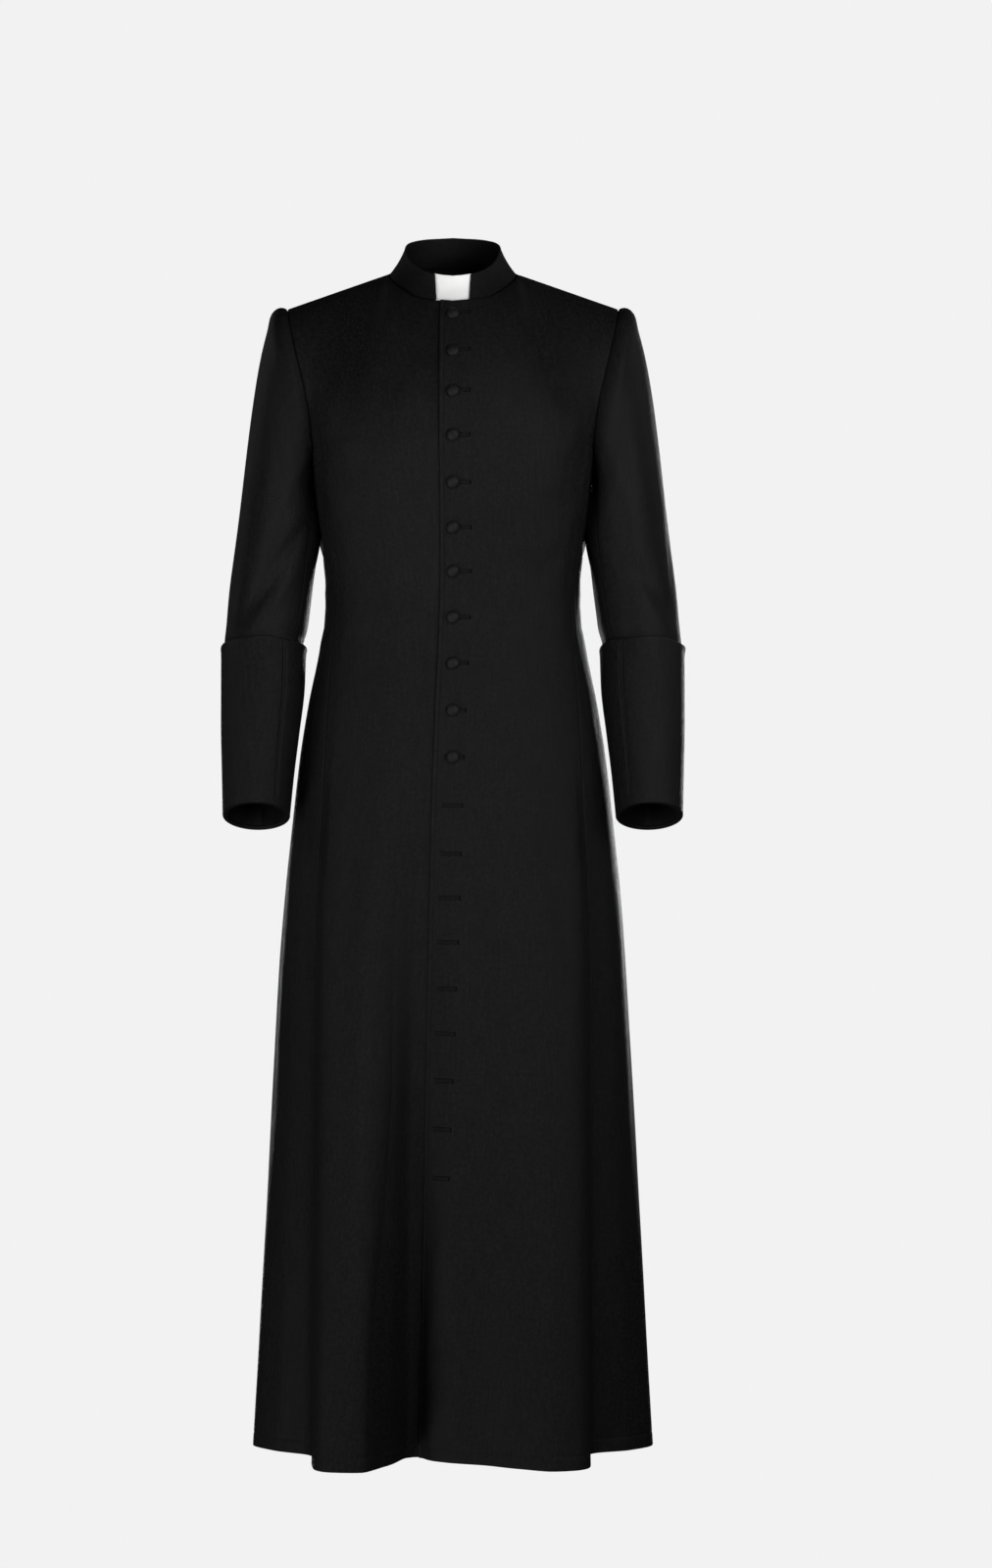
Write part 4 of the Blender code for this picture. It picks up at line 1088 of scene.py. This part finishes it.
def add_collar_tab():
    """The white strip that slips in behind the collar's square opening."""
    heights = np.array(spread(-0.16, 1.0, 0.05, [-0.158, -0.15, 0.99, 0.997]))
    shares = np.array(spread(-1.0, 1.0, 0.05, [-0.998, -0.99, 0.99, 0.998]))
    angles = np.broadcast_to(TAB_END_ANGLE * shares[None, :], (len(heights), len(shares)))
    held_down = 1.0 - TAB_TUCK * smooth((np.abs(angles) - 23.0) / 9.0)
    grid_heights = heights[:, None] * np.where(heights[:, None] > 0.0, held_down, 1.0)
    base = collar_point(angles, grid_heights)
    off_middle = np.exp(-(angles / TAB_SMOOTHING) ** 2)
    base[..., 2] += 0.0011 * off_middle * np.clip(grid_heights, 0.0, 1.0)
    normal = collar_normal(angles, grid_heights)
    across = lengths(base, 1)
    up = lengths(base, 0)
    from_side = np.minimum(across, across[:, -1:] - across)
    from_edge = np.minimum(from_side, np.minimum(up, up[-1:] - up))
    turned = roll(from_edge, 0.0004, 0.0007)
    outer = base - normal * (TAB_DEPTH + turned)[..., None]
    inner = base - normal * (TAB_DEPTH + TAB_WALL - turned)[..., None]
    uv = np.stack([across, up], axis=-1)
    made = wall_object("collar_tab_strip", outer, inner, LOOKS["white"], uv, 0.0 * across)
    dress(made, "collar_tab")


# Seam allowances, pressed flat inside along every seam
ALLOWANCE = np.array([-0.0060, -0.0030, 0.0, 0.0030, 0.0060])
ALLOWANCE_INSIDE = ALLOWANCE[:1:-1]
ALLOWANCE_DEPTH = WALL + 0.0005
ALLOWANCE_WALL = 0.0007


def chest_place(angle):
    """The fold place of a chest angle."""
    dense = np.linspace(0.0, LAST_FOLD, 3201)
    return np.interp(angle, FOLD_AT["chest_angle"](dense), dense)


def strip(points, normals, depth=ALLOWANCE_DEPTH):
    outer = points - normals * np.asarray(depth)[..., None]
    inner = outer - normals * ALLOWANCE_WALL
    rows, columns = outer.shape[:2]
    vertices = np.concatenate([outer.reshape(-1, 3), inner.reshape(-1, 3)])
    faces = grid_faces(rows, columns)
    if volume_sign(vertices, faces) < 0.0:
        faces = faces[:, ::-1]
    return vertices, faces


def body_strip(place, rows):
    rows = np.asarray(rows)
    dense = place + np.linspace(-0.6, 0.6, 121)
    wrapped = dense % LAST_FOLD
    run = lengths(cloth_body(wrapped[None, :], rows[:, None]), 1)
    run = run - run[:, 60:61]
    places = np.array([np.interp(ALLOWANCE, line, dense) for line in run]) % LAST_FOLD
    grid_rows = np.broadcast_to(rows[:, None], places.shape)
    return strip(cloth_body(places, grid_rows), body_normal(places, grid_rows))


def shoulder_strip(side):
    along = np.linspace(0.0, 1.0, 26)[:, None]
    off = NECK_CHEST_ANGLE + (ROOT_ANGLE - NECK_CHEST_ANGLE) * along
    front, back = chest_place(side * off), chest_place(side * (180.0 - off))
    places = np.concatenate([front, front, front, back, back], axis=1)
    rows = np.broadcast_to(np.array([[0.968, 0.984, 1.0, 0.984, 0.968]]), places.shape)
    return strip(cloth_body(places, rows), body_normal(places, rows))


def neck_strip():
    angle = np.linspace(17.5, 342.5, 90)
    angle = np.where(angle > 180.0, angle - 360.0, angle)[:, None]
    size = np.abs(angle)
    front = NECK_CHEST_ANGLE * size / SHOULDER_SEAM_ANGLE
    back = 180.0 - NECK_CHEST_ANGLE * (180.0 - size) / (180.0 - SHOULDER_SEAM_ANGLE)
    places = chest_place(np.sign(angle) * np.where(size < SHOULDER_SEAM_ANGLE, front, back))
    rows = np.broadcast_to(np.array([[0.972, 0.988]]), (len(angle), 2))
    wide = np.broadcast_to(places, rows.shape)
    heights = np.broadcast_to(np.array([[0.0, 0.10, 0.22]]), (len(angle), 3))
    turned = np.broadcast_to(angle, heights.shape)
    points = np.concatenate([cloth_body(wide, rows), collar_point(turned, heights)], axis=1)
    collar_way = collar_normal(turned, heights)
    normals = np.concatenate([body_normal(wide, rows), collar_way], axis=1)
    depth = np.array([ALLOWANCE_DEPTH, ALLOWANCE_DEPTH] + [COLLAR_THICK + 0.0005] * 3)
    return strip(points, normals, depth[None, :])


def armhole_strip(side):
    turns = np.linspace(0.0, 3.0, 121)
    points, normals = [], []
    for turn in turns:
        if turn <= 1.0 or turn >= 2.0:
            is_front = turn <= 1.0
            row = max(1.0 - turn if is_front else turn - 2.0, 1e-4)
            root = ROOTS[side, is_front]
            inwards = -1.0 if (side > 0) == is_front else 1.0
            dense = root + inwards * np.linspace(0.0, 1.2, 61)
            run = lengths(cloth_body(dense, row)[None], 1)[0]
            places = np.interp(ALLOWANCE_INSIDE, run, dense)
            body = cloth_body(places, row)
            ways = body_normal(places, np.full(3, row))
        else:
            start, end = ROOTS[side, True], ROOTS[side, False]
            place = start + (end - start) * (turn - 1.0)
            rows = ARMHOLE_LINE_Z - ALLOWANCE_INSIDE
            body = cloth_body(place, rows)
            ways = body_normal(np.full(3, place), rows)
        down = np.array([0.016, 0.034])
        sleeve = cloth_sleeve(side, turn, down)
        sleeve_way = sleeve_normal(side, np.full(2, turn), down)
        ways[-1] = unit(ways[-1] + sleeve_way[0])
        points.append(np.concatenate([body, sleeve]))
        normals.append(np.concatenate([ways, sleeve_way]))
    return strip(np.array(points), np.array(normals))


def sleeve_strip(side, turn):
    rows = np.array(spread(0.04, 8.0, 0.16))
    dense = turn + np.linspace(-0.16, 0.16, 81)
    run = lengths(cloth_sleeve(side, dense[None, :], rows[:, None]), 1)
    run = run - run[:, 40:41]
    turns = np.array([np.interp(ALLOWANCE, line, dense) for line in run])
    grid_rows = np.broadcast_to(rows[:, None], turns.shape)
    return strip(cloth_sleeve(side, turns, grid_rows), sleeve_normal(side, turns, grid_rows))


def add_allowances():
    skirt = spread(HEM_Z + 0.004, ARMHOLE_LINE_Z - 0.0004, 0.0125)
    parts = [body_strip(place, skirt) for place in ROOTS.values()]
    parts.append(body_strip(0.0, skirt + spread(0.02, 0.995, 0.04)))
    parts.append(neck_strip())
    for side in (1, -1):
        parts += [shoulder_strip(side), armhole_strip(side)]
        parts += [sleeve_strip(side, SLEEVE_SEAM_FRONT), sleeve_strip(side, SLEEVE_SEAM_BACK)]
    points, faces = gather(parts)
    flat = np.array(points)[:, [0, 2]]
    made = link_mesh("seam_allowances", points, faces, LOOKS["wool"], flat, WALL_SHARP_ANGLE)
    dress(made)


BUTTON_FIRST = 0.0196
BUTTON_STEPS = [
    0.0526, 0.0528, 0.0538, 0.0566, 0.0546, 0.0531, 0.0560, 0.0559, 0.0575, 0.0573,
]
BUTTON_SEAT = 0.0008
BUTTON_SIDES = 48
# The button's outline from its crown outwards and down: radius and height
BUTTON_OUTLINE = [
    (0.0000, 0.00500), (0.0010, 0.00497), (0.0020, 0.00486), (0.0030, 0.00468),
    (0.0040, 0.00440), (0.0049, 0.00404), (0.0057, 0.00360), (0.0064, 0.00310),
    (0.0070, 0.00258), (0.0075, 0.00200), (0.0079, 0.00145), (0.0080, 0.00105),
    (0.0079, 0.00060), (0.0074, 0.00022), (0.0066, 0.00000),
]


def button_rows():
    """The grid rows of the buttons, from their lengths along centre front."""
    rows = [1.0 - i / 40 for i in range(40)] + [ARMHOLE_LINE_Z - i * 0.01 for i in range(60)]
    line = cloth_body(CENTRE, np.array(rows))
    run = lengths(line, 0)
    found = []
    for number in range(len(BUTTON_STEPS) + 1):
        wanted = BUTTON_FIRST + sum(BUTTON_STEPS[:number])
        i = int(np.searchsorted(run, wanted, side="right")) - 1
        share = (wanted - run[i]) / (run[i + 1] - run[i])
        same = (rows[i] > 0) == (rows[i + 1] > 0)
        found.append(rows[i] + (rows[i + 1] - rows[i]) * share if same else ARMHOLE_LINE_Z)
    return found


def standing_on(place, row, lift):
    """A point off the cloth with its ways across, up and out."""
    point = cloth_body(place, row)
    out = body_normal(place, row)
    across = unit(cloth_body(place + 0.02, row) - cloth_body(place - 0.02, row))
    across = unit(across - out * np.sum(across * out, axis=-1, keepdims=True))
    return point + out * lift, across, np.cross(out, across), out


def add_buttons():
    """Covered buttons: cloth gathered over a dome, with a tucked rim."""
    turns = np.linspace(0.0, 2.0 * np.pi, BUTTON_SIDES + 1)[:-1]
    for number, row in enumerate(button_rows()):
        seat, across, up, out = standing_on(float(CENTRE), row, LAP_LIFT + BUTTON_SEAT)
        points = [seat + out * BUTTON_OUTLINE[0][1]]
        uv = [(0.0, 0.0)]
        for radius, height in BUTTON_OUTLINE[1:]:
            rim = smooth((radius - 0.0060) / 0.0020)
            tuck = 0.00012 * rim * np.sin(11.0 * turns + 1.3 * number)
            reach = radius - 0.00010 * rim + tuck
            ring = np.outer(reach * np.cos(turns), across) + np.outer(reach * np.sin(turns), up)
            points += list(seat + ring + out * height)
            tilt = 0.35 * number
            uv += list(np.stack([radius * np.cos(turns + tilt), radius * np.sin(turns + tilt)], -1))
        faces = []
        rings = len(BUTTON_OUTLINE) - 1
        vertices = np.array(points)
        for i in range(BUTTON_SIDES):
            j = (i + 1) % BUTTON_SIDES
            faces.append((0, 1 + i, 1 + j, 0))
            for r in range(rings - 1):
                a, b = 1 + r * BUTTON_SIDES, 1 + (r + 1) * BUTTON_SIDES
                faces.append((a + i, b + i, b + j, a + j))
        base = len(vertices)
        vertices = np.concatenate([vertices, [seat]])
        last = 1 + (rings - 1) * BUTTON_SIDES
        for i in range(BUTTON_SIDES):
            faces.append((base, last + (i + 1) % BUTTON_SIDES, last + i, base))
        uv.append((0.0, 0.0))
        node = "button_%02d" % (number + 1)
        cover = fan_object(node + "_cover", vertices, faces, LOOKS["button"], uv)
        dress(cover, node)


def fan_object(name, vertices, faces, look, uv):
    """An object whose faces may repeat a corner to stand for a triangle."""
    clean = [list(dict.fromkeys(map(int, face))) for face in faces]
    quads = np.array([(face + face[:1])[:4] for face in clean])
    if volume_sign(vertices, quads) < 0.0:
        clean = [face[:1] + face[:0:-1] for face in clean]
    return link_mesh(name, vertices, clean, look, uv, BUTTON_SHARP_ANGLE)


# Sewing on the lap. A stitch is a short rounded bar laid on the cloth.
LOWER_HOLE_ROWS = [-0.644, -0.702, -0.755, -0.808, -0.864, -0.918, -0.9745, -1.033, -1.092]
HOLE_FROM_EDGE = 0.0125
HOLE_LENGTH = 0.0245
HOLE_HALF = 0.0022
HOLE_LINE = 0.0009
HOLE_PITCH = 0.00085
LAP_STITCH_PITCH = 0.0032
LAP_STITCH_LENGTH = 0.0023


class LapLine:
    """Finds places on the upper layer by true distance from the lap edge."""

    def __init__(self, rows):
        self.rows = rows
        self.dense = np.linspace(LAP_EDGE, LAP_EDGE + 4.0, 400)
        points = cloth_body(self.dense[None, :], np.array(rows)[:, None])
        self.run = lengths(points, 1)

    def place(self, index, distance):
        return np.interp(distance, self.run[index], self.dense)


def stitch_bar(middle, along, side, out, length, width, height):
    """Eight-cornered bar with a raised, narrower back, as points and faces."""
    points = []
    for end in (-1.0, 1.0):
        tip = middle + along * (end * 0.5 * length)
        points += [tip - side * 0.5 * width - out * 0.0003, tip + side * 0.5 * width - out * 0.0003]
    for end in (-1.0, 1.0):
        tip = middle + along * (end * 0.33 * length) + out * height
        points += [tip - side * 0.26 * width, tip + side * 0.26 * width]
    faces = [(0, 1, 3, 2), (4, 6, 7, 5), (0, 2, 6, 4), (1, 5, 7, 3), (0, 4, 5, 1), (2, 3, 7, 6)]
    return points, faces


def gather(parts):
    points, faces = [], []
    for some, quads in parts:
        start = len(points)
        points += list(some)
        faces += [tuple(i + start for i in quad) for quad in quads]
    return points, faces


def add_buttonholes():
    """Worked buttonholes: two stitched lines with a raised lip between them
    and a bar across the inner end."""
    rows = button_rows() + LOWER_HOLE_ROWS
    line = LapLine(rows)
    threads = []
    lips = []
    for index, row in enumerate(rows):
        for distance in np.arange(0.0, HOLE_LENGTH, HOLE_PITCH):
            place = line.place(index, HOLE_FROM_EDGE + distance)
            lift = lap_lift(place)
            middle, across, up, out = standing_on(place, row, lift)
            for way in (-1.0, 1.0):
                spot = middle + up * (way * HOLE_HALF)
                threads.append(stitch_bar(spot, up, across, out, HOLE_LINE, 0.0006, 0.00042))
            lips.append((middle, across, up, out))
        place = line.place(index, HOLE_FROM_EDGE + HOLE_LENGTH)
        middle, across, up, out = standing_on(place, row, lap_lift(place))
        for step in (-0.0005, 0.0, 0.0005):
            spot = middle + across * step
            threads.append(stitch_bar(spot, up, across, out, 0.0058, 0.0006, 0.00055))
    points, faces = gather(threads)
    sewing_object("buttonhole_stitches", points, faces)
    ridge = []
    per_hole = len(lips) // len(rows)
    for hole in range(len(rows)):
        group = lips[hole * per_hole:(hole + 1) * per_hole]
        grid = []
        for middle, across, up, out in group:
            grid.append([
                middle + up * high + out * rise for high, rise in (
                    (-0.0013, -0.0003), (-0.0009, 0.00034), (-0.0003, 0.00040), (0.0, 0.00005),
                    (0.0003, 0.00040), (0.0009, 0.00034), (0.0013, -0.0003),
                )
            ])
        count = len(grid[0])
        quads = [
            (r * count + c, r * count + c + 1, (r + 1) * count + c + 1, (r + 1) * count + c)
            for r in range(len(grid) - 1) for c in range(count - 1)
        ]
        quads.append(tuple(range(count - 1, -1, -1)))
        quads.append(tuple((len(grid) - 1) * count + c for c in range(count)))
        ends = [r * count for r in range(len(grid))]
        other = [r * count + count - 1 for r in range(len(grid))]
        quads += [(a, b, d, c) for a, b, c, d in zip(ends, ends[1:], other, other[1:])]
        ridge.append(([p for row_points in grid for p in row_points], quads))
    points, faces = gather(ridge)
    flat = np.array(points)[:, [0, 2]]
    lip = link_mesh("buttonhole_lips", points, faces, LOOKS["wool"], flat, LIP_SHARP_ANGLE)
    dress(lip)


def sewing_object(name, points, faces):
    dress(link_mesh(name, points, faces, LOOKS["thread"]))


def add_lap_stitches():
    """The line of tone-on-tone stitches beside the lap edge, their thread darkened as painted
    shade.
    """
    rows = np.array(SKIRT_ROWS + YOKE_ROWS)
    line = LapLine(rows)
    places = np.array([line.place(i, STITCH_LINE) for i in range(len(rows))])
    path = cloth_body(places, rows)
    run = lengths(path, 0)
    wanted = np.arange(0.004, run[-1] - 0.004, LAP_STITCH_PITCH)
    at_rows = np.interp(wanted, run, rows)
    crossing = (at_rows > ARMHOLE_LINE_Z) & (at_rows <= 0.0)
    at_rows = np.where(crossing, ARMHOLE_LINE_Z, at_rows)
    at_places = np.interp(wanted, run, places)
    parts = []
    lifts = lap_lift(at_places) + lap_curl(STITCH_LINE, run[-1] - wanted) - STITCH_DIP
    relief = (body_relief(path, True) + drift(path)) * lap_fade(STITCH_LINE, path[:, 2])
    lifts += np.interp(wanted, run, relief)
    for place, row, lift in zip(at_places, at_rows, lifts):
        middle, across, up, out = standing_on(place, row, lift)
        parts.append(stitch_bar(middle, up, across, out, LAP_STITCH_LENGTH, 0.0005, 0.00028))
    points, faces = gather(parts)
    sewing_object("lap_stitches", points, faces)


# Materials. Sizes in the weave are in metres on the cloth.
LOOKS = {}
TWILL_PITCH = 0.0011
TWILL_SLOPE = math.radians(58.0)
WEAVE_DEPTH = 0.00035
PLAIN_BUMP = 0.4


def new_look(name, roughness, specular):
    look = bpy.data.materials.new(name)
    look.use_nodes = True
    shader = look.node_tree.nodes["Principled BSDF"]
    shader.inputs["Roughness"].default_value = roughness
    shader.inputs["Specular IOR Level"].default_value = specular
    return look, look.node_tree.nodes, look.node_tree.links, shader


def add_node(nodes, kind, **settings):
    node = nodes.new(kind)
    for name, value in settings.items():
        setattr(node, name, value)
    return node


def noise(nodes, links, vector, scale, detail, stretch=(1.0, 1.0, 1.0)):
    """A noise at so many features a metre, stretched along the thread."""
    mapped = add_node(nodes, "ShaderNodeMapping")
    mapped.inputs["Scale"].default_value = stretch
    links.new(vector, mapped.inputs["Vector"])
    made = add_node(nodes, "ShaderNodeTexNoise")
    made.inputs["Scale"].default_value = scale
    made.inputs["Detail"].default_value = detail
    made.inputs["Roughness"].default_value = 0.6
    links.new(mapped.outputs[0], made.inputs["Vector"])
    return made.outputs["Fac"]


def between(nodes, links, value, low, high, out_low, out_high):
    node = add_node(nodes, "ShaderNodeMapRange")
    for slot, number in zip(range(1, 5), (low, high, out_low, out_high)):
        node.inputs[slot].default_value = number
    links.new(value, node.inputs[0])
    return node.outputs[0]


def maths(nodes, links, operation, a, b=None):
    node = add_node(nodes, "ShaderNodeMath", operation=operation)
    for slot, value in ((0, a), (1, b)):
        if value is None:
            continue
        if isinstance(value, (int, float)):
            node.inputs[slot].default_value = value
        else:
            links.new(value, node.inputs[slot])
    return node.outputs[0]


def add_bump(nodes, links, shader, height, strength, depth):
    bump = add_node(nodes, "ShaderNodeBump")
    bump.inputs["Strength"].default_value = strength
    bump.inputs["Distance"].default_value = depth
    links.new(height, bump.inputs["Height"])
    links.new(bump.outputs[0], shader.inputs["Normal"])


def paint(nodes, links, shader, tone, amount):
    """Set the tone, made lighter or darker by a varying amount."""
    colour = add_node(nodes, "ShaderNodeVectorMath", operation="SCALE")
    colour.inputs[0].default_value = tone
    links.new(amount, colour.inputs["Scale"])
    links.new(colour.outputs[0], shader.inputs["Base Color"])


def wool_look(name, tone, roughness, specular, twill, mottle):
    """Worsted twill: diagonal ribs, uneven threads and a soft mottle, with painted shade in the
    ribs' grooves and a painted highlight on marked edges.
    """
    look, nodes, links, shader = new_look(name, roughness, specular)
    uv = add_node(nodes, "ShaderNodeUVMap", uv_map="cloth").outputs[0]
    across = add_node(nodes, "ShaderNodeVectorMath", operation="DOT_PRODUCT")
    reach = 2.0 * math.pi / TWILL_PITCH
    across.inputs[1].default_value = (
        reach * math.sin(TWILL_SLOPE), -reach * math.cos(TWILL_SLOPE), 0.0,
    )
    links.new(uv, across.inputs[0])
    wander = maths(nodes, links, "MULTIPLY", noise(nodes, links, uv, 260.0, 2.0), 2.4)
    ribs = maths(nodes, links, "SINE", maths(nodes, links, "ADD", across.outputs["Value"], wander))
    slub = noise(nodes, links, uv, 520.0, 3.0, (1.6, 0.42, 1.0))
    grain = noise(nodes, links, uv, 270.0, 3.0, (1.0, 0.8, 1.0))
    cloud = noise(nodes, links, uv, 26.0, 3.0)
    streak = noise(nodes, links, uv, 300.0, 2.0, (1.0, 0.11, 1.0))
    height = maths(nodes, links, "ADD", maths(nodes, links, "MULTIPLY", ribs, 0.30), slub)
    height = maths(nodes, links, "ADD", height, maths(nodes, links, "MULTIPLY", grain, 1.6))
    add_bump(nodes, links, shader, height, twill, WEAVE_DEPTH)
    fine = between(nodes, links, grain, 0.32, 0.68, 1.0 - mottle, 1.0 + mottle)
    thread = between(nodes, links, slub, 0.3, 0.7, 1.0 - 0.6 * mottle, 1.0 + 0.6 * mottle)
    wide = between(nodes, links, cloud, 0.3, 0.7, 0.93, 1.07)
    # painted shade: the twill's grooves are darker and the tops of its ribs lighter, following the
    # ribs of the bump
    painted_rib_shade = between(nodes, links, ribs, -1.0, 1.0, 0.90, 1.10)
    drawn = between(nodes, links, streak, 0.3, 0.7, 1.0 - 0.5 * mottle, 1.0 + 0.5 * mottle)
    # painted highlight: the marked edges are made up to 35% lighter
    painted_edge_highlight = add_node(nodes, "ShaderNodeAttribute", attribute_name="painted_edge_highlight").outputs["Fac"]
    edge_highlight_paint = between(nodes, links, painted_edge_highlight, 0.0, 1.0, 1.0, 1.35)
    amount = maths(nodes, links, "MULTIPLY", fine, thread)
    for part in (wide, painted_rib_shade, drawn, edge_highlight_paint):
        amount = maths(nodes, links, "MULTIPLY", amount, part)
    paint(nodes, links, shader, tone, amount)
    dull = between(nodes, links, grain, 0.3, 0.7, roughness - 0.08, roughness + 0.08)
    links.new(dull, shader.inputs["Roughness"])
    return look


def plain_look(name, tone, roughness, specular, scale, depth, vary):
    """A finish with a fine even grain, read from the object's own space."""
    look, nodes, links, shader = new_look(name, roughness, specular)
    place = add_node(nodes, "ShaderNodeTexCoord").outputs["Object"]
    grain = noise(nodes, links, place, scale, 3.0)
    add_bump(nodes, links, shader, grain, PLAIN_BUMP, depth)
    amount = between(nodes, links, grain, 0.3, 0.7, 1.0 - vary, 1.0 + vary)
    paint(nodes, links, shader, tone, amount)
    dull = between(nodes, links, grain, 0.3, 0.7, roughness - 0.05, roughness + 0.05)
    links.new(dull, shader.inputs["Roughness"])
    return look


def add_looks():
    cloth = (0.0056, 0.0056, 0.0059)
    LOOKS["wool"] = wool_look("black_wool_twill", cloth, 0.59, 0.11, 0.7, 0.46)
    LOOKS["collar"] = wool_look("black_wool_collar", cloth, 0.61, 0.08, 0.6, 0.40)
    # painted highlight: the buttons' covering twill is given a lighter tone than the body's wool,
    # for the light their domes catch
    button = (0.0074, 0.0074, 0.0077)
    LOOKS["button"] = wool_look("button_twill", button, 0.56, 0.15, 0.4, 0.25)
    # painted shade: the thread is the cloth's own black, set darker for the shade along stitch
    # lines and buttonhole edges
    LOOKS["thread"] = plain_look(
        "black_thread_painted_shade", (0.0022, 0.0022, 0.0023), 0.62, 0.04, 3000.0, 0.0001, 0.2,
    )
    LOOKS["white"] = plain_look(
        "white_strip", (0.94, 0.94, 0.93), 0.45, 0.4, 900.0, 0.00005, 0.02,
    )


# Studio: a pale floor and a pale surround, which only the camera sees
FLOOR_Z = -1.560
PALE = 0.888
SURROUND_RADIUS = 45.0


def pale_look(name):
    look = bpy.data.materials.new(name)
    look.use_nodes = True
    nodes, links = look.node_tree.nodes, look.node_tree.links
    nodes.clear()
    out = add_node(nodes, "ShaderNodeOutputMaterial")
    glow = add_node(nodes, "ShaderNodeEmission")
    glow.inputs["Color"].default_value = (1.0, 1.0, 1.0, 1.0)
    glow.inputs["Strength"].default_value = PALE
    links.new(glow.outputs[0], out.inputs["Surface"])
    return look


def add_studio():
    size = SURROUND_RADIUS
    corners = [(-size, -size), (size, -size), (size, size), (-size, size)]
    floor_points = [(x, y, FLOOR_Z) for x, y in corners]
    sky_points = []
    sky_faces = []
    rings, steps = 16, 32
    for r in range(rings + 1):
        for s in range(steps):
            tilt, turn = math.pi * r / rings, 2.0 * math.pi * s / steps
            sky_points.append((
                size * math.sin(tilt) * math.cos(turn),
                size * math.sin(tilt) * math.sin(turn),
                size * math.cos(tilt),
            ))
    for r in range(rings):
        for s in range(steps):
            t = (s + 1) % steps
            a, b = r * steps, (r + 1) * steps
            sky_faces.append((a + s, a + t, b + t, b + s))
    for name, points, faces in (
        ("floor", floor_points, [(0, 1, 2, 3)]), ("surround", sky_points, sky_faces),
    ):
        made = link_mesh(name, points, faces, pale_look("studio_" + name))
        for kind in ("diffuse", "glossy", "transmission", "shadow"):
            setattr(made, "visible_" + kind, False)


# Large soft lights: where each stands, what it looks at, its size and power
SoftLight = namedtuple("SoftLight", "name x y z at_z width height watts")
SOFT_LIGHTS = [
    SoftLight("low_right", -2.46, -2.21, -3.34, -0.75, 1.2, 1.2, 64.0),
    SoftLight("waist_right", -0.9, -1.3, -0.45, -0.575, 0.7, 0.7, 8.4),
    SoftLight("waist_left", 0.9, -1.3, -0.45, -0.575, 0.7, 0.7, 3.3),
    SoftLight("chest_left", 0.9, -1.3, 0.35, -0.175, 0.7, 0.7, 7.0),
    SoftLight("front_left", 0.9, -2.3, -0.45, -0.575, 0.7, 0.7, 11.0),
    SoftLight("side_left", 1.9, -1.3, 0.35, -0.175, 0.7, 0.7, 9.0),
    SoftLight("rim_left", 2.4, 1.8, 0.90, -0.40, 1.2, 1.2, 5.0),
    SoftLight("rim_right", -2.4, 1.8, 0.90, -0.40, 1.2, 1.2, 6.0),
    SoftLight("back_left", 1.4, 3.8, -0.40, -0.75, 1.2, 1.2, 75.0),
    SoftLight("back_right", -1.0, 3.9, -1.30, -0.75, 1.2, 1.2, 42.0),
]
AMBIENT = 0.02


def add_lights():
    for light in SOFT_LIGHTS:
        data = bpy.data.lights.new(light.name, "AREA")
        data.shape = "RECTANGLE"
        data.size = light.width
        data.size_y = light.height
        data.energy = light.watts
        made = bpy.data.objects.new(light.name, data)
        spot = Vector((light.x, light.y, light.z))
        made.location = spot
        made.visible_camera = False
        toward = Vector((0.0, 0.0, light.at_z)) - spot
        made.rotation_euler = toward.to_track_quat("-Z", "Y").to_euler()
        bpy.context.scene.collection.objects.link(made)
    world = bpy.data.worlds.new("studio")
    world.use_nodes = True
    background = world.node_tree.nodes["Background"]
    background.inputs["Color"].default_value = (1.0, 1.0, 1.0, 1.0)
    background.inputs["Strength"].default_value = AMBIENT
    bpy.context.scene.world = world
    bpy.context.scene.view_settings.view_transform = "Standard"


add_camera()
add_looks()
CLOTH = add_trunk()
CLOTH.update(add_sleeves())
CLOTH.update(add_cuffs())
CLOTH["collar"] = add_collar()
add_collar_tab()
add_buttons()
add_buttonholes()
add_lap_stitches()
add_allowances()
add_studio()
add_lights()
